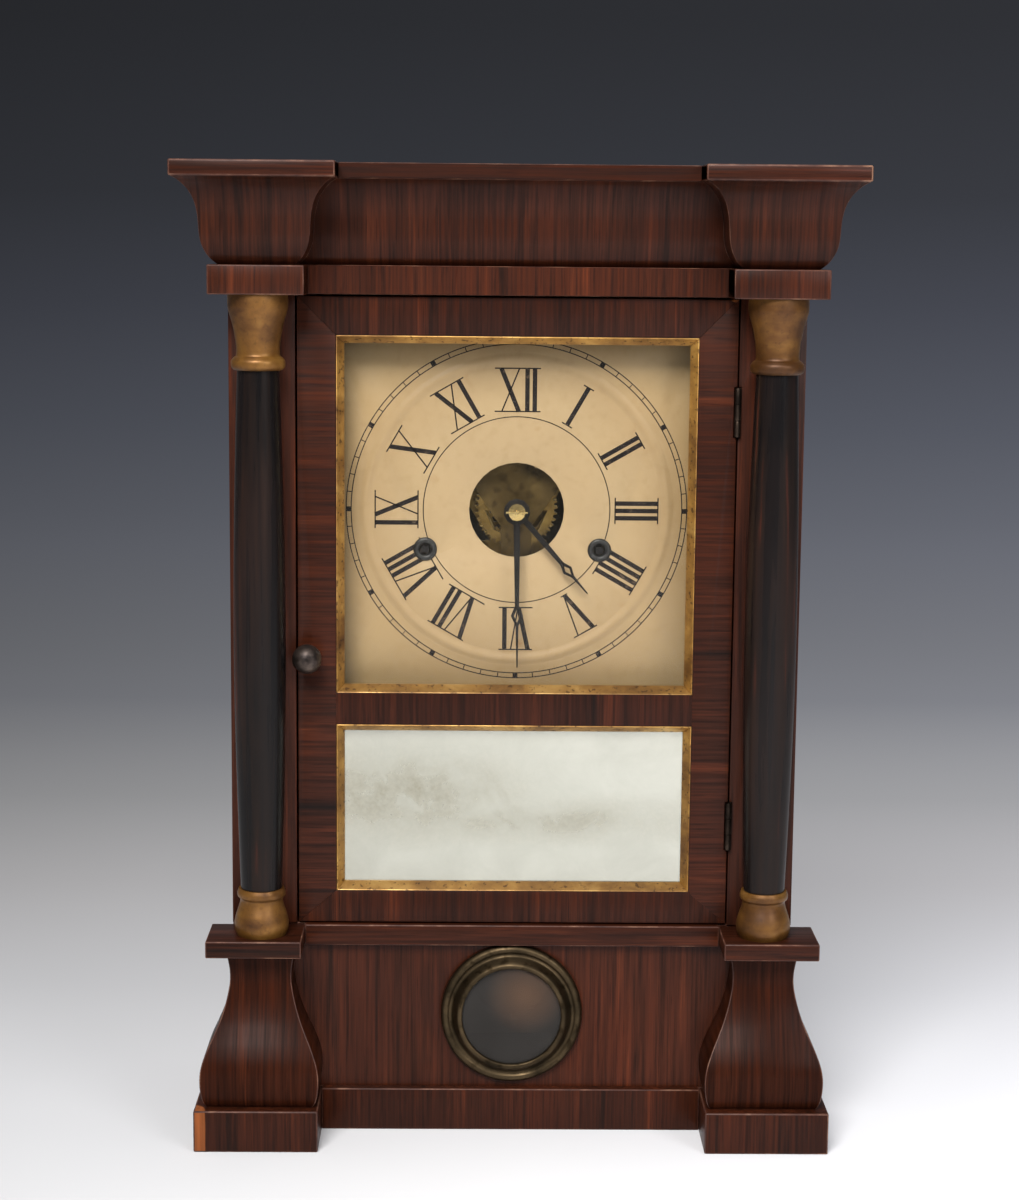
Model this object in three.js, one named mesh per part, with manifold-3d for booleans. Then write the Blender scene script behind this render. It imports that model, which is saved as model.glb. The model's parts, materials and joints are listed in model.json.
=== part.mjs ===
// A column-and-cornice shelf clock with one glazed door, in millimetres, +Z up.
// Front views look along +Y. Depths are counted from the case's front face (y = 0) and the
// whole clock is then moved so that its origin is the middle of the rectangle that it stands on.
import * as THREE from 'three';
import { mergeVertices } from 'three/addons/utils/BufferGeometryUtils.js';
import Module from 'manifold-3d';

const wasm = await Module();
wasm.setup();

// ---------- driving dimensions ----------
const overallHeight = 406.4;
const bodyHalfWidth = 118.1;
const bodyDepth = 82;
const sideThickness = 9.5;
const frontThickness = 14.5;
const backThickness = 6;
const baseBoardThickness = 8;
const baseBoardLift = 8;

const railHeight = 18.1;
const railProjection = 3;
const panelRecess = 1;
const ledgeTop = 90.1;
const ledgeThickness = 8.9;

// in the next two groups, widths are counted from the case's side: In is towards the middle, Out beyond it
const footIn = 37.5;
const footOut = 14.1;
const footFront = 30;
const footHeight = 17.7;
const neckIn = 25.9;
const neckWidth = 25.8;
const neckFront = 15.7;
const capIn = 30.6;
const capOut = 8.9;
const capFront = 26;
const capTop = 89.2;
const capThickness = 7.1;

const columnIn = 13.3;
const columnForward = 12.6;
const columnBaseHeight = 19.8;
const capitalHeight = 30.3;

const friezeThickness = 11.8;
const friezeOut = 5.7;
const friezeBlockWidth = 38.5;
const friezeFront = 26;
const friezeSetback = 23;
const corniceReveal = 4;
const corniceWall = 9;
const corniceHeight = 34.2;
const slabThickness = 6.4;
const slabOverhang = 17.2;

const stileWidth = 27.2;
const doorProud = 0.5;
const doorThickness = 15;
const doorGap = 0.8;
const doorStile = 15.8;
const topRail = 15.7;
const middleRail = 13.2;
const bottomRail = 13.4;
const dialWindowHeight = 148.5;
const beadWidth = 3.3;
const beadDepth = 4.7;
const beadProud = 0.4;
const rebate = 2.7;
const glassThickness = 2;
const mirrorBackThickness = 3;

const knobInset = 4.2;
const knobRise = 15.8;
const knobRadius = 6.1;
const spindleRadius = 2;
const tongueLength = 14;
const tongueThickness = 2;

const hingeHeight = 20.2;
const upperHingeDrop = 46;
const lowerHingeRise = 42.2;
const leafThickness = 0.8;
const leafDepth = 12;
const knuckleRadius = 1.4;
const pinRadius = 0.6;
const hingeForward = 0.9;
const leafFront = 0.3;

const windowZ = 50.9;
const bezelRadius = 30;
const bezelInner = 20.9;
const bezelRise = 7;
const windowGlassRadius = 22.2;

const centreX = 0.5;
const centreRise = 75;
const timeArborX = 35.6;
const strikeArborX = -37.9;
const arborDrop = 16.8;
const dialShare = 0.244;
const dialThickness = 1.2;
const dialLap = 4.7;
const dialLapBelow = 3;
const dialLapAbove = 3.5;
const dialHole = 20;
const windingHole = 4.9;

const plateHalfWidth = 58;
const plateBelow = 62;
const plateAbove = 72;
const plateThickness = 1.5;
const dialStandoff = 8;
const plateShare = 0.3475;
const pillarX = 50;
const pillarInset = 10;
const pillarRadius = 2.8;

const pivotRadius = 0.8;
const arborRadius = 1.2;
const windingRadius = 2;
const wheelThickness = 1.5;
const leafSpare = 0.5;
const pendulumRise = 54;
const cockRise = 9;
const cockHalf = 3;
const bobZ = 46;
const bobRadius = 17;
const bobThickness = 8;
const rodRadius = 0.9;
const rodShare = 0.243;
const crutchShare = 0.036;

const gongDrop = 144;
const gongWire = 1.2;
const gongTurns = 4;
const gongInner = 14;
const gongOuter = 38;
const gongShare = 0.364;

const minuteHandAngle = 179.4;
const hourHandAngle = 139;
const minuteHandLength = 66;
const hourHandLength = 46;

// ---------- clearances ----------
const restGap = 0.3;
const runningGap = 0.12;
const snugGap = 0.05;
const turningGap = 0.4;

// ---------- worked out from the above ----------
const backFace = bodyDepth - backThickness;
const insideX = bodyHalfWidth - sideThickness;
const panelThickness = frontThickness - panelRecess;
const slabBottom = overallHeight - slabThickness;
const corniceBottom = slabBottom - corniceHeight;
const friezeBottom = corniceBottom - friezeThickness;
const friezeHalfWidth = bodyHalfWidth + friezeOut;
const friezeInnerX = friezeHalfWidth - friezeBlockWidth;
const footInnerX = bodyHalfWidth - footIn;
const footOuterX = bodyHalfWidth + footOut;
const neckInnerX = bodyHalfWidth - neckIn;
const neckOuterX = neckInnerX + neckWidth;
const capInnerX = bodyHalfWidth - capIn;
const capOuterX = bodyHalfWidth + capOut;
const columnX = bodyHalfWidth - columnIn;
const slabFront = friezeFront - corniceReveal + slabOverhang;
const doorBottom = ledgeTop + doorGap;
const doorTop = friezeBottom - doorGap;
const doorBack = doorThickness - doorProud;
const doorHalfWidth = bodyHalfWidth - stileWidth - doorGap;
const beadOuterX = doorHalfWidth - doorStile;
const dialWindowTop = doorTop - topRail;
const dialWindowBottom = dialWindowTop - dialWindowHeight;
const mirrorWindowTop = dialWindowBottom - middleRail;
const mirrorWindowBottom = doorBottom + bottomRail;
const knobX = knobInset - doorHalfWidth;
const knobZ = dialWindowBottom + knobRise;
const hingeUpperZ = doorTop - upperHingeDrop;
const hingeLowerZ = doorBottom + lowerHingeRise;
const dialHalfWidth = beadOuterX + dialLap;
const dialBottom = dialWindowBottom - dialLapBelow;
const dialTop = dialWindowTop + dialLapAbove;
const centreZ = dialWindowBottom + centreRise;
const arborZ = centreZ - arborDrop;
const plateBottom = centreZ - plateBelow;
const plateTop = centreZ + plateAbove;
const pendulumZ = centreZ + pendulumRise;
const gongZ = centreZ - gongDrop;
const dialFace = bodyDepth * dialShare;
const frontPlateY = dialFace + dialStandoff;
const plateSpacing = bodyDepth * plateShare;
const glassFront = beadDepth - beadProud + restGap;
const hingeX = doorHalfWidth + doorGap / 2;
const backPlateY = frontPlateY + plateThickness + plateSpacing;
const plateBack = backPlateY + plateThickness;
const roomBehind = backFace - plateBack;
const rodY = plateBack + roomBehind * rodShare;
const coilY = backFace - roomBehind * gongShare;

// ---------- geometry helpers ----------
function outward(geometry) {
  const solid = geometry.index ? geometry.toNonIndexed() : geometry;
  const p = solid.attributes.position;
  const a = new THREE.Vector3();
  const b = new THREE.Vector3();
  const c = new THREE.Vector3();
  let volume = 0;
  for (let i = 0; i < p.count; i += 3) {
    a.fromBufferAttribute(p, i);
    b.fromBufferAttribute(p, i + 1);
    c.fromBufferAttribute(p, i + 2);
    volume += a.dot(b.cross(c));
  }
  if (volume >= 0) return solid;
  for (let i = 0; i < p.count; i += 3) {
    b.fromBufferAttribute(p, i + 1);
    c.fromBufferAttribute(p, i + 2);
    p.setXYZ(i + 1, c.x, c.y, c.z);
    p.setXYZ(i + 2, b.x, b.y, b.z);
  }
  return solid;
}

function toSolid(geometry) {
  const bare = outward(geometry);
  bare.deleteAttribute('normal');
  bare.deleteAttribute('uv');
  const merged = mergeVertices(bare, 1e-4);
  const vertProperties = new Float32Array(merged.attributes.position.array);
  const triVerts = new Uint32Array(merged.index.array);
  return new wasm.Manifold(new wasm.Mesh({ numProp: 3, vertProperties, triVerts }));
}

function fromSolid(solid) {
  const mesh = solid.getMesh();
  const geometry = new THREE.BufferGeometry();
  geometry.setAttribute('position', new THREE.BufferAttribute(new Float32Array(mesh.vertProperties), 3));
  geometry.setIndex(new THREE.BufferAttribute(new Uint32Array(mesh.triVerts), 1));
  return geometry;
}

function join(...pieces) {
  const solids = pieces.map(toSolid);
  return fromSolid(solids.reduce((whole, next) => whole.add(next)));
}

function cut(base, ...tools) {
  const solids = tools.map(toSolid);
  return fromSolid(solids.reduce((rest, tool) => rest.subtract(tool), toSolid(base)));
}

function block(x0, x1, y0, y1, z0, z1) {
  const box = new THREE.BoxGeometry(x1 - x0, y1 - y0, z1 - z0);
  return box.translate((x0 + x1) / 2, (y0 + y1) / 2, (z0 + z1) / 2);
}

function shapeOf(points) {
  return new THREE.Shape(points.map(([u, v]) => new THREE.Vector2(u, v)));
}

// an outline in plan, raised from z0 to z1
function prism(points, z0, z1) {
  const geometry = new THREE.ExtrudeGeometry(shapeOf(points), { depth: z1 - z0, bevelEnabled: false });
  return geometry.translate(0, 0, z0);
}

// an outline seen from the front, running from y0 to y1, with its openings cut through it
function sheet(points, y0, y1, holes = []) {
  const geometry = new THREE.ExtrudeGeometry(shapeOf(points), { depth: y1 - y0, bevelEnabled: false });
  geometry.rotateX(Math.PI / 2).translate(0, y1, 0);
  return holes.length ? cut(geometry, ...holes.map((hole) => sheet(hole, y0 - 1, y1 + 1))) : geometry;
}

function ringPoints(x, z, radius, sides = 16) {
  const points = [];
  for (let i = 0; i < sides; i += 1) {
    const a = (i / sides) * 2 * Math.PI;
    points.push([x + radius * Math.cos(a), z + radius * Math.sin(a)]);
  }
  return points;
}

// a round bar along the depth
function bar(x, z, radius, y0, y1, sides = 12) {
  return sheet(ringPoints(x, z, radius, sides), y0, y1);
}

// a turned piece that stands upright; profile pairs are radius and height
function turned(profile, x, y, sides = 16) {
  const points = profile.map(([r, h]) => new THREE.Vector2(r, h));
  const geometry = new THREE.LatheGeometry(points, sides);
  return outward(geometry.rotateX(Math.PI / 2).translate(x, y, 0));
}

// a turned piece whose axis runs along the depth; profile pairs are radius and depth
function turnedInDepth(profile, x, z, sides = 24) {
  const points = profile.map(([r, y]) => new THREE.Vector2(r, y));
  return outward(new THREE.LatheGeometry(points, sides).translate(x, 0, z));
}

// outlines in plan, one above another, skinned and closed at both ends
function stack(levels) {
  const count = levels[0].outline.length;
  const vertices = [];
  for (const { z, outline } of levels) {
    for (const [x, y] of outline) vertices.push(x, y, z);
  }
  const index = [];
  for (let level = 0; level + 1 < levels.length; level += 1) {
    for (let i = 0; i < count; i += 1) {
      const next = (i + 1) % count;
      const a = level * count + i;
      const b = level * count + next;
      index.push(a, b, b + count, a, b + count, a + count);
    }
  }
  const top = (levels.length - 1) * count;
  const caps = (outline) => {
    return THREE.ShapeUtils.triangulateShape(outline.map(([x, y]) => new THREE.Vector2(x, y)), []);
  };
  for (const [a, b, c] of caps(levels[0].outline)) index.push(c, b, a);
  for (const [a, b, c] of caps(levels.at(-1).outline)) index.push(top + a, top + b, top + c);
  const geometry = new THREE.BufferGeometry();
  geometry.setAttribute('position', new THREE.Float32BufferAttribute(vertices, 3));
  geometry.setIndex(index);
  return outward(geometry);
}

function mirrored(points) {
  return points.map(([x, y]) => [-x, y]).reverse();
}

function toothed(x, z, teeth, pitchRadius, phase, share = 0.36) {
  const step = (2 * Math.PI) / teeth;
  const size = (2 * pitchRadius) / teeth;
  const tip = pitchRadius + 0.75 * size;
  const root = pitchRadius - 1.05 * size;
  const points = [];
  for (let i = 0; i < teeth; i += 1) {
    const a = phase + i * step;
    const half = (step * share) / 2;
    const spots = [[root, -1.35 * half], [tip, -0.55 * half], [tip, 0.55 * half], [root, 1.35 * half]];
    for (const [r, da] of spots) points.push([x + r * Math.cos(a + da), z + r * Math.sin(a + da)]);
  }
  return points;
}

// the openings between the arms of a wheel
function crossings(x, z, inner, outer, arms = 3, armWidth = 2.6) {
  const holes = [];
  const steps = 2;
  for (let k = 0; k < arms; k += 1) {
    const from = (k / arms) * 2 * Math.PI;
    const to = ((k + 1) / arms) * 2 * Math.PI;
    const points = [];
    for (const [radius, start, end] of [[outer, from, to], [inner, to, from]]) {
      const trim = (armWidth / 2 / radius) * Math.sign(end - start);
      for (let i = 0; i <= steps; i += 1) {
        const a = start + trim + ((end - start - 2 * trim) * i) / steps;
        points.push([x + radius * Math.cos(a), z + radius * Math.sin(a)]);
      }
    }
    holes.push(points);
  }
  return holes;
}

const clock = new THREE.Group();

function add(name, geometry, finish) {
  const mesh = new THREE.Mesh(geometry, new THREE.MeshStandardMaterial(finish));
  mesh.name = name;
  clock.add(mesh);
}

const rosewood = { color: 0x4a1c12, roughness: 0.35, metalness: 0 };
const softwood = { color: 0xa9814f, roughness: 0.8, metalness: 0 };
const ebonised = { color: 0x14100e, roughness: 0.3, metalness: 0 };
const gilt = { color: 0x9a6a1e, roughness: 0.45, metalness: 0.8 };
const brass = { color: 0xa9853e, roughness: 0.4, metalness: 1 };
const darkBrass = { color: 0x4a4028, roughness: 0.5, metalness: 1 };
const steel = { color: 0x1a1a1c, roughness: 0.35, metalness: 1 };
const paint = { color: 0xe6d8b0, roughness: 0.5, metalness: 0 };
const clearGlass = { color: 0xdfe6e2, roughness: 0.05, metalness: 0, transparent: true, opacity: 0.3 };
const silvering = { color: 0xc3cac6, roughness: 0.08, metalness: 1 };

// ---------- case ----------
// half of the front's outline in plan, left to right across both breaks over the columns
function breakFront(reach, front, innerX, back) {
  const right = [[innerX, -front + friezeSetback], [innerX, -front], [reach, -front], [reach, back]];
  return [...mirrored(right), ...right];
}

function addCase() {
  for (const [side, s] of [['left', -1], ['right', 1]]) {
    const span = (a, b) => (s < 0 ? [-b, -a] : [a, b]);
    const [x0, x1] = span(insideX, bodyHalfWidth);
    add(`side_${side}`, block(x0, x1, frontThickness, bodyDepth, 0, friezeBottom), rosewood);

    const [s0, s1] = span(doorHalfWidth + doorGap, bodyHalfWidth);
    const stile = block(s0, s1, 0, frontThickness, ledgeTop, friezeBottom);
    add(`stile_${side}`, s > 0 ? cut(stile, ...hingeRecesses(1)) : stile, rosewood);

    const [f0, f1] = span(footInnerX, footOuterX);
    add(`foot_${side}`, block(f0, f1, -footFront, panelRecess, 0, footHeight), rosewood);

    add(`bracket_${side}`, bracket(s), rosewood);
    const [c0, c1] = span(capInnerX, capOuterX);
    const cap = block(c0, c1, -capFront, panelRecess, capTop - capThickness, capTop);
    add(`bracket_cap_${side}`, cap, rosewood);
    addColumn(side, s * columnX);
  }
  const floorTop = baseBoardLift + baseBoardThickness;
  const behind = panelRecess + panelThickness;
  add('base_board', block(-insideX, insideX, behind, backFace, baseBoardLift, floorTop), softwood);
  add('back_board', block(-insideX, insideX, backFace, bodyDepth, 0, slabBottom), softwood);

  const endX = bodyHalfWidth;
  const rail = [
    [-endX, panelRecess], [-footInnerX, panelRecess], [-footInnerX, -railProjection],
    [footInnerX, -railProjection], [footInnerX, panelRecess], [endX, panelRecess],
    [endX, behind], [-endX, behind],
  ];
  add('base_rail', prism(rail, 0, railHeight), rosewood);

  const panelTop = ledgeTop - ledgeThickness;
  const panel = block(-endX, endX, panelRecess, behind, railHeight, panelTop);
  const hole = bar(0, windowZ, windowGlassRadius + turningGap, 0, behind + 1, 32);
  add('lower_panel', cut(panel, hole), rosewood);

  const shelf = [
    [-endX, panelRecess], [-capInnerX, panelRecess], [-capInnerX, -railProjection],
    [capInnerX, -railProjection], [capInnerX, panelRecess], [endX, panelRecess],
    [endX, frontThickness], [-endX, frontThickness],
  ];
  add('ledge', prism(shelf, panelTop, ledgeTop), rosewood);
}

// a scroll bracket: the same curve on its front and on both of its sides
function bracket(s) {
  const profile = [
    [9.3, 0], [10.8, 3], [11.7, 8], [11.8, 14], [10.9, 19], [8.9, 24.5],
    [6.4, 30], [4, 35.5], [2, 41.5], [0.7, 47], [0, 52], [0.2, 57.5],
    [1.4, capTop - capThickness - footHeight],
  ];
  const levels = profile.map(([swell, rise]) => {
    const inner = neckInnerX - swell;
    const outer = neckOuterX + swell;
    const front = -neckFront - swell;
    const outline = [[inner, front], [outer, front], [outer, panelRecess], [inner, panelRecess]];
    return { z: footHeight + rise, outline: s < 0 ? mirrored(outline) : outline };
  });
  return stack(levels);
}

function addColumn(side, x) {
  const foot = capTop;
  const baseProfile = [
    [0, 0], [10.2, 0], [11.1, 2.5], [11.3, 5], [10.6, 8.5], [9.3, 12.5],
    [8.8, 15.2], [9.8, 16.4], [10, 18], [9.4, columnBaseHeight], [0, columnBaseHeight],
  ];
  const shaftFrom = foot + columnBaseHeight;
  const shaftTo = friezeBottom - capitalHeight;
  const shaftLength = shaftTo - shaftFrom;
  const endRadius = 8.5;
  const swell = 2.15;
  const steps = 6;
  const shaft = [[0, shaftFrom]];
  for (let i = 0; i <= steps; i += 1) {
    const t = i / steps;
    shaft.push([endRadius + swell * Math.sin(Math.PI * t), shaftFrom + shaftLength * t]);
  }
  shaft.push([0, shaftTo]);
  const capital = [
    [0, 0], [9.6, 0], [10.8, 1.2], [10.9, 3.6], [9.9, 5], [8.8, 6.4],
    [9.1, 12], [10.2, 18], [11.6, 23], [12.2, 26], [12.2, capitalHeight], [0, capitalHeight],
  ];
  const lift = (profile, z) => profile.map(([r, h]) => [r, h + z]);
  add(`column_base_${side}`, turned(lift(baseProfile, foot), x, -columnForward), gilt);
  add(`column_${side}`, turned(shaft, x, -columnForward), ebonised);
  add(`capital_${side}`, turned(lift(capital, shaftTo), x, -columnForward), gilt);
}

function addHead() {
  const top = breakFront(friezeHalfWidth, friezeFront, friezeInnerX, bodyDepth);
  const notch = [[insideX, bodyDepth], [insideX, backFace], [-insideX, backFace], [-insideX, bodyDepth]];
  add('frieze', prism([...top, ...notch], friezeBottom, corniceBottom), rosewood);

  // the moulding's curve: how far it stands out from its foot, and how high
  const curve = [
    [0, 0], [3.1, 2.9], [5.4, 7], [6.4, 11], [6.8, 16.2], [7.2, 20.3],
    [8.3, 24.9], [10.4, 29], [13.6, 32.4], [16.5, corniceHeight],
  ];
  const wall = corniceReveal + corniceWall;
  const inner = breakFront(friezeHalfWidth - wall, friezeFront - wall, friezeInnerX + wall, bodyDepth);
  const levels = curve.map(([out, rise]) => {
    const set = corniceReveal - out;
    const outer = breakFront(friezeHalfWidth - set, friezeFront - set, friezeInnerX + set, bodyDepth);
    return { z: corniceBottom + rise, outline: [...outer, ...[...inner].reverse()] };
  });
  add('cornice', stack(levels), rosewood);

  const reach = slabOverhang - corniceReveal;
  const slab = breakFront(friezeHalfWidth + reach, slabFront, friezeInnerX - reach, bodyDepth);
  add('top_slab', prism(slab, slabBottom, overallHeight), rosewood);
}

function addWindow() {
  const seat = windowGlassRadius + restGap;
  const glassFace = panelRecess - bezelRise + 2;
  const profile = [
    [seat, panelRecess], [bezelRadius, panelRecess], [bezelRadius, panelRecess - 2.2],
    [bezelRadius - 1.6, panelRecess - 3.6], [bezelRadius - 3.4, panelRecess - 2.8],
    [bezelRadius - 5, panelRecess - 4.4], [bezelInner + 2.4, panelRecess - 6.6],
    [bezelInner + 1, panelRecess - bezelRise], [bezelInner, panelRecess - bezelRise + 0.6],
    [bezelInner, glassFace - restGap], [seat, glassFace - restGap], [seat, panelRecess],
  ];
  add('window_bezel', turnedInDepth(profile, 0, windowZ, 28), darkBrass);
  const pane = bar(0, windowZ, windowGlassRadius, glassFace, glassFace + glassThickness, 32);
  add('window_glass', pane, clearGlass);
}

// ---------- hinges ----------
const hingeAxis = { x: hingeX, y: -hingeForward };

function upright(radius, z0, z1, sides = 16) {
  return prism(ringPoints(hingeAxis.x, hingeAxis.y, radius, sides), z0, z1);
}

function hingeRecesses(side) {
  const edge = doorGap / 2 + leafThickness + restGap;
  const near = hingeX;
  const tools = [];
  for (const z of [hingeLowerZ, hingeUpperZ]) {
    const z0 = z - hingeHeight / 2 - restGap;
    const z1 = z + hingeHeight / 2 + restGap;
    const [x0, x1] = side > 0 ? [near - doorGap, near + edge] : [near - edge, near + doorGap];
    tools.push(block(x0, x1, -1.5, leafDepth + restGap, z0, z1));
    tools.push(upright(knuckleRadius + turningGap, z0, z1));
  }
  return tools;
}

// one leaf of a butt hinge: side is 1 for the leaf on the case and -1 for the leaf on the door
function hingeLeaf(z, side) {
  const z0 = z - hingeHeight / 2;
  const third = hingeHeight / 3;
  const near = hingeX + (side * doorGap) / 2;
  const far = near + side * leafThickness;
  const z1 = z0 + hingeHeight;
  const leaf = block(Math.min(near, far), Math.max(near, far), leafFront, leafDepth, z0, z1);
  const middle = [[z0 + third, z1 - third]];
  const ends = [[z0, z0 + third], [z1 - third, z1]];
  const [mine, others] = side > 0 ? [middle, ends] : [ends, middle];
  const clear = knuckleRadius + turningGap / 2;
  let piece = cut(leaf, ...others.map(([a, b]) => upright(clear, a - runningGap, b + runningGap)));
  const web = (a, b) => {
    return block(Math.min(hingeX, far), Math.max(hingeX, far), -hingeForward, hingeForward, a, b);
  };
  for (const [a, b] of mine) {
    const low = a + runningGap;
    const high = b - runningGap;
    piece = join(piece, web(low, high), upright(knuckleRadius, low, high));
  }
  if (side > 0) return join(piece, upright(pinRadius, z0, z1, 12));
  return cut(piece, upright(pinRadius + runningGap, z0 - 1, z1 + 1, 12));
}

// ---------- door ----------
function beadFrame(z0, z1) {
  const back = beadDepth - beadProud;
  const thin = 0.5;
  const path = (inset) => [
    [-beadOuterX + inset, z0 + inset], [beadOuterX - inset, z0 + inset],
    [beadOuterX - inset, z1 - inset], [-beadOuterX + inset, z1 - inset],
  ];
  const front = -doorProud - beadProud + thin;
  const solid = stackInDepth([
    { y: front, outline: path(runningGap) },
    { y: back, outline: path(runningGap) },
  ]);
  const opening = stackInDepth([
    { y: front - 1, outline: path(thin - beadWidth * 0.15) },
    { y: front, outline: path(thin) },
    { y: back - thin, outline: path(beadWidth) },
    { y: back + 1, outline: path(beadWidth) },
  ]);
  return cut(solid, opening);
}

function stackInDepth(levels) {
  const upright = levels.map(({ y, outline }) => ({ z: -y, outline }));
  return outward(stack(upright).rotateX(Math.PI / 2));
}

function addDoor() {
  const frame = block(-doorHalfWidth, doorHalfWidth, -doorProud, doorBack, doorBottom, doorTop);
  const tools = hingeRecesses(-1);
  const windows = [[dialWindowBottom, dialWindowTop], [mirrorWindowBottom, mirrorWindowTop]];
  const seat = beadOuterX + rebate;
  const rebateFace = beadDepth - beadProud;
  for (const [z0, z1] of windows) {
    tools.push(block(-beadOuterX, beadOuterX, -doorProud - 1, doorThickness, z0, z1));
    tools.push(block(-seat, seat, rebateFace, doorThickness, z0 - rebate, z1 + rebate));
  }
  tools.push(bar(knobX, knobZ, spindleRadius + runningGap, -2, doorThickness + 1));
  add('door_frame', cut(frame, ...tools), rosewood);
  add('dial_bead', beadFrame(dialWindowBottom, dialWindowTop), gilt);
  add('mirror_bead', beadFrame(mirrorWindowBottom, mirrorWindowTop), gilt);

  const paneX = seat - restGap;
  const pane = (z0, z1, y, thickness) => {
    return block(-paneX, paneX, y, y + thickness, z0 - rebate + restGap, z1 + rebate - restGap);
  };
  add('door_glass', pane(dialWindowBottom, dialWindowTop, glassFront, glassThickness), clearGlass);
  add('mirror', pane(mirrorWindowBottom, mirrorWindowTop, glassFront, glassThickness), silvering);
  const backing = glassFront + glassThickness + restGap;
  add('mirror_back', pane(mirrorWindowBottom, mirrorWindowTop, backing, mirrorBackThickness), softwood);

  for (const [place, z] of [['upper', hingeUpperZ], ['lower', hingeLowerZ]]) {
    add(`hinge_${place}_case_leaf`, hingeLeaf(z, 1), darkBrass);
    add(`hinge_${place}_door_leaf`, hingeLeaf(z, -1), darkBrass);
  }
  addKnob();
}

function addKnob() {
  const face = -doorProud - restGap;
  const neckLength = 2.4;
  const neckRadius = 3;
  const collarRadius = 4.6;
  const ballY = face - neckLength - knobRadius * 0.9;
  const profile = [[0, ballY - knobRadius]];
  for (let i = 1; i <= 7; i += 1) {
    const a = -Math.PI / 2 + (i * 0.82 * Math.PI) / 7;
    profile.push([knobRadius * Math.cos(a), ballY + knobRadius * Math.sin(a)]);
  }
  const tongueY = doorBack + restGap;
  const spindleEnd = tongueY + tongueThickness / 2;
  profile.push(
    [neckRadius, face - 1.4], [collarRadius, face - 1], [collarRadius, face],
    [spindleRadius, face], [spindleRadius, spindleEnd], [0, spindleEnd]);
  const tongueWidth = 6;
  const tongue = block(
    knobX - tongueWidth / 2, knobX + tongueWidth / 2,
    tongueY, tongueY + tongueThickness, knobZ - tongueLength, knobZ + tongueWidth / 2);
  add('knob', join(turnedInDepth(profile, knobX, knobZ, 16), tongue), darkBrass);
}

// ---------- dial ----------
const dialFootX = 46;
const dialFootBelow = 42;
const dialFootAbove = 54;
const dialFootRadius = 2.2;

function addDial() {
  const edge = [
    [-dialHalfWidth, dialBottom], [dialHalfWidth, dialBottom],
    [dialHalfWidth, dialTop], [-dialHalfWidth, dialTop],
  ];
  const holes = [
    ringPoints(centreX, centreZ, dialHole, 32),
    ringPoints(timeArborX, arborZ, windingHole, 20),
    ringPoints(strikeArborX, arborZ, windingHole, 20),
  ];
  const back = dialFace + dialThickness;
  const rows = [centreZ - dialFootBelow, centreZ + dialFootAbove];
  const feet = rows.flatMap((z) => [-dialFootX, dialFootX].map((x) => {
    return bar(x, z, dialFootRadius, back - 0.4, frontPlateY);
  }));
  add('dial', join(sheet(edge, dialFace, back, holes), ...feet), paint);
}

// ---------- trains: every wheel lies where its mesh with its driver puts it ----------
const greatTeeth = 48;
const centrePinionTeeth = 8;
const centreTeeth = 36;
const thirdPinionTeeth = 6;
const thirdTeeth = 36;
const escapePinionTeeth = 6;
const hourTeeth = 42;
const motionPinionTeeth = 7;
const cannonTeeth = 12;
const motionTeeth = 24;
const strikePinionTeeth = 8;
const strikeTeeth = 36;
const flyPinionTeeth = 6;

const timeDistance = Math.hypot(timeArborX - centreX, centreZ - arborZ);
const greatRadius = (timeDistance * greatTeeth) / (greatTeeth + centrePinionTeeth);
const centrePinionRadius = timeDistance - greatRadius;
const centreWheelRadius = 16.8;
const hourWheelRadius = 17;
const thirdWheelRadius = 15.2;
const strikeGreatRadius = 31.8;
const strikeWheelRadius = 14.4;
const escapeRadius = 13;

const radiusFor = (teeth, mateTeeth, mateRadius) => (mateRadius * teeth) / mateTeeth;
const toward = ([x, z], distance, degrees) => {
  const a = THREE.MathUtils.degToRad(degrees);
  return [x + distance * Math.cos(a), z + distance * Math.sin(a)];
};
const centre = [centreX, centreZ];
const timeArbor = [timeArborX, arborZ];
const strikeArbor = [strikeArborX, arborZ];
const thirdAngle = 65;
const thirdPinionRadius = radiusFor(thirdPinionTeeth, centreTeeth, centreWheelRadius);
const third = toward(centre, centreWheelRadius + thirdPinionRadius, thirdAngle);
const escapeAngle = 118;
const escapePinionRadius = radiusFor(escapePinionTeeth, thirdTeeth, thirdWheelRadius);
const escape = toward(third, thirdWheelRadius + escapePinionRadius, escapeAngle);
const motionAngle = -90;
const motionPinionRadius = radiusFor(motionPinionTeeth, hourTeeth, hourWheelRadius);
const motion = toward(centre, hourWheelRadius + motionPinionRadius, motionAngle);
const motionDistance = hourWheelRadius + motionPinionRadius;
const cannonRadius = (motionDistance * cannonTeeth) / (cannonTeeth + motionTeeth);
const strikeAngle = 75;
const strikePinionRadius = radiusFor(strikePinionTeeth, greatTeeth, strikeGreatRadius);
const strikeCentre = toward(strikeArbor, strikeGreatRadius + strikePinionRadius, strikeAngle);
const flyAngle = 100;
const flyPinionRadius = radiusFor(flyPinionTeeth, strikeTeeth, strikeWheelRadius);
const fly = toward(strikeCentre, strikeWheelRadius + flyPinionRadius, flyAngle);
const verge = [centreX, pendulumZ];
const hammer = [-18, plateBottom + 7];

// the depth at which each wheel turns, as a share of the way from the front plate to the back one
const inside = frontPlateY + plateThickness;
const level = (share) => inside + share * plateSpacing;
const hourY = level(0.025);
const motionY = level(0.105);
const centreY = level(0.193);
const thirdY = level(0.281);
const greatY = level(0.386);
const ratchetY = level(0.484);
const springY = level(0.561);
const springWidth = 0.403 * plateSpacing;
const strikeY = level(0.579);
const escapeY = level(0.842);

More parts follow.
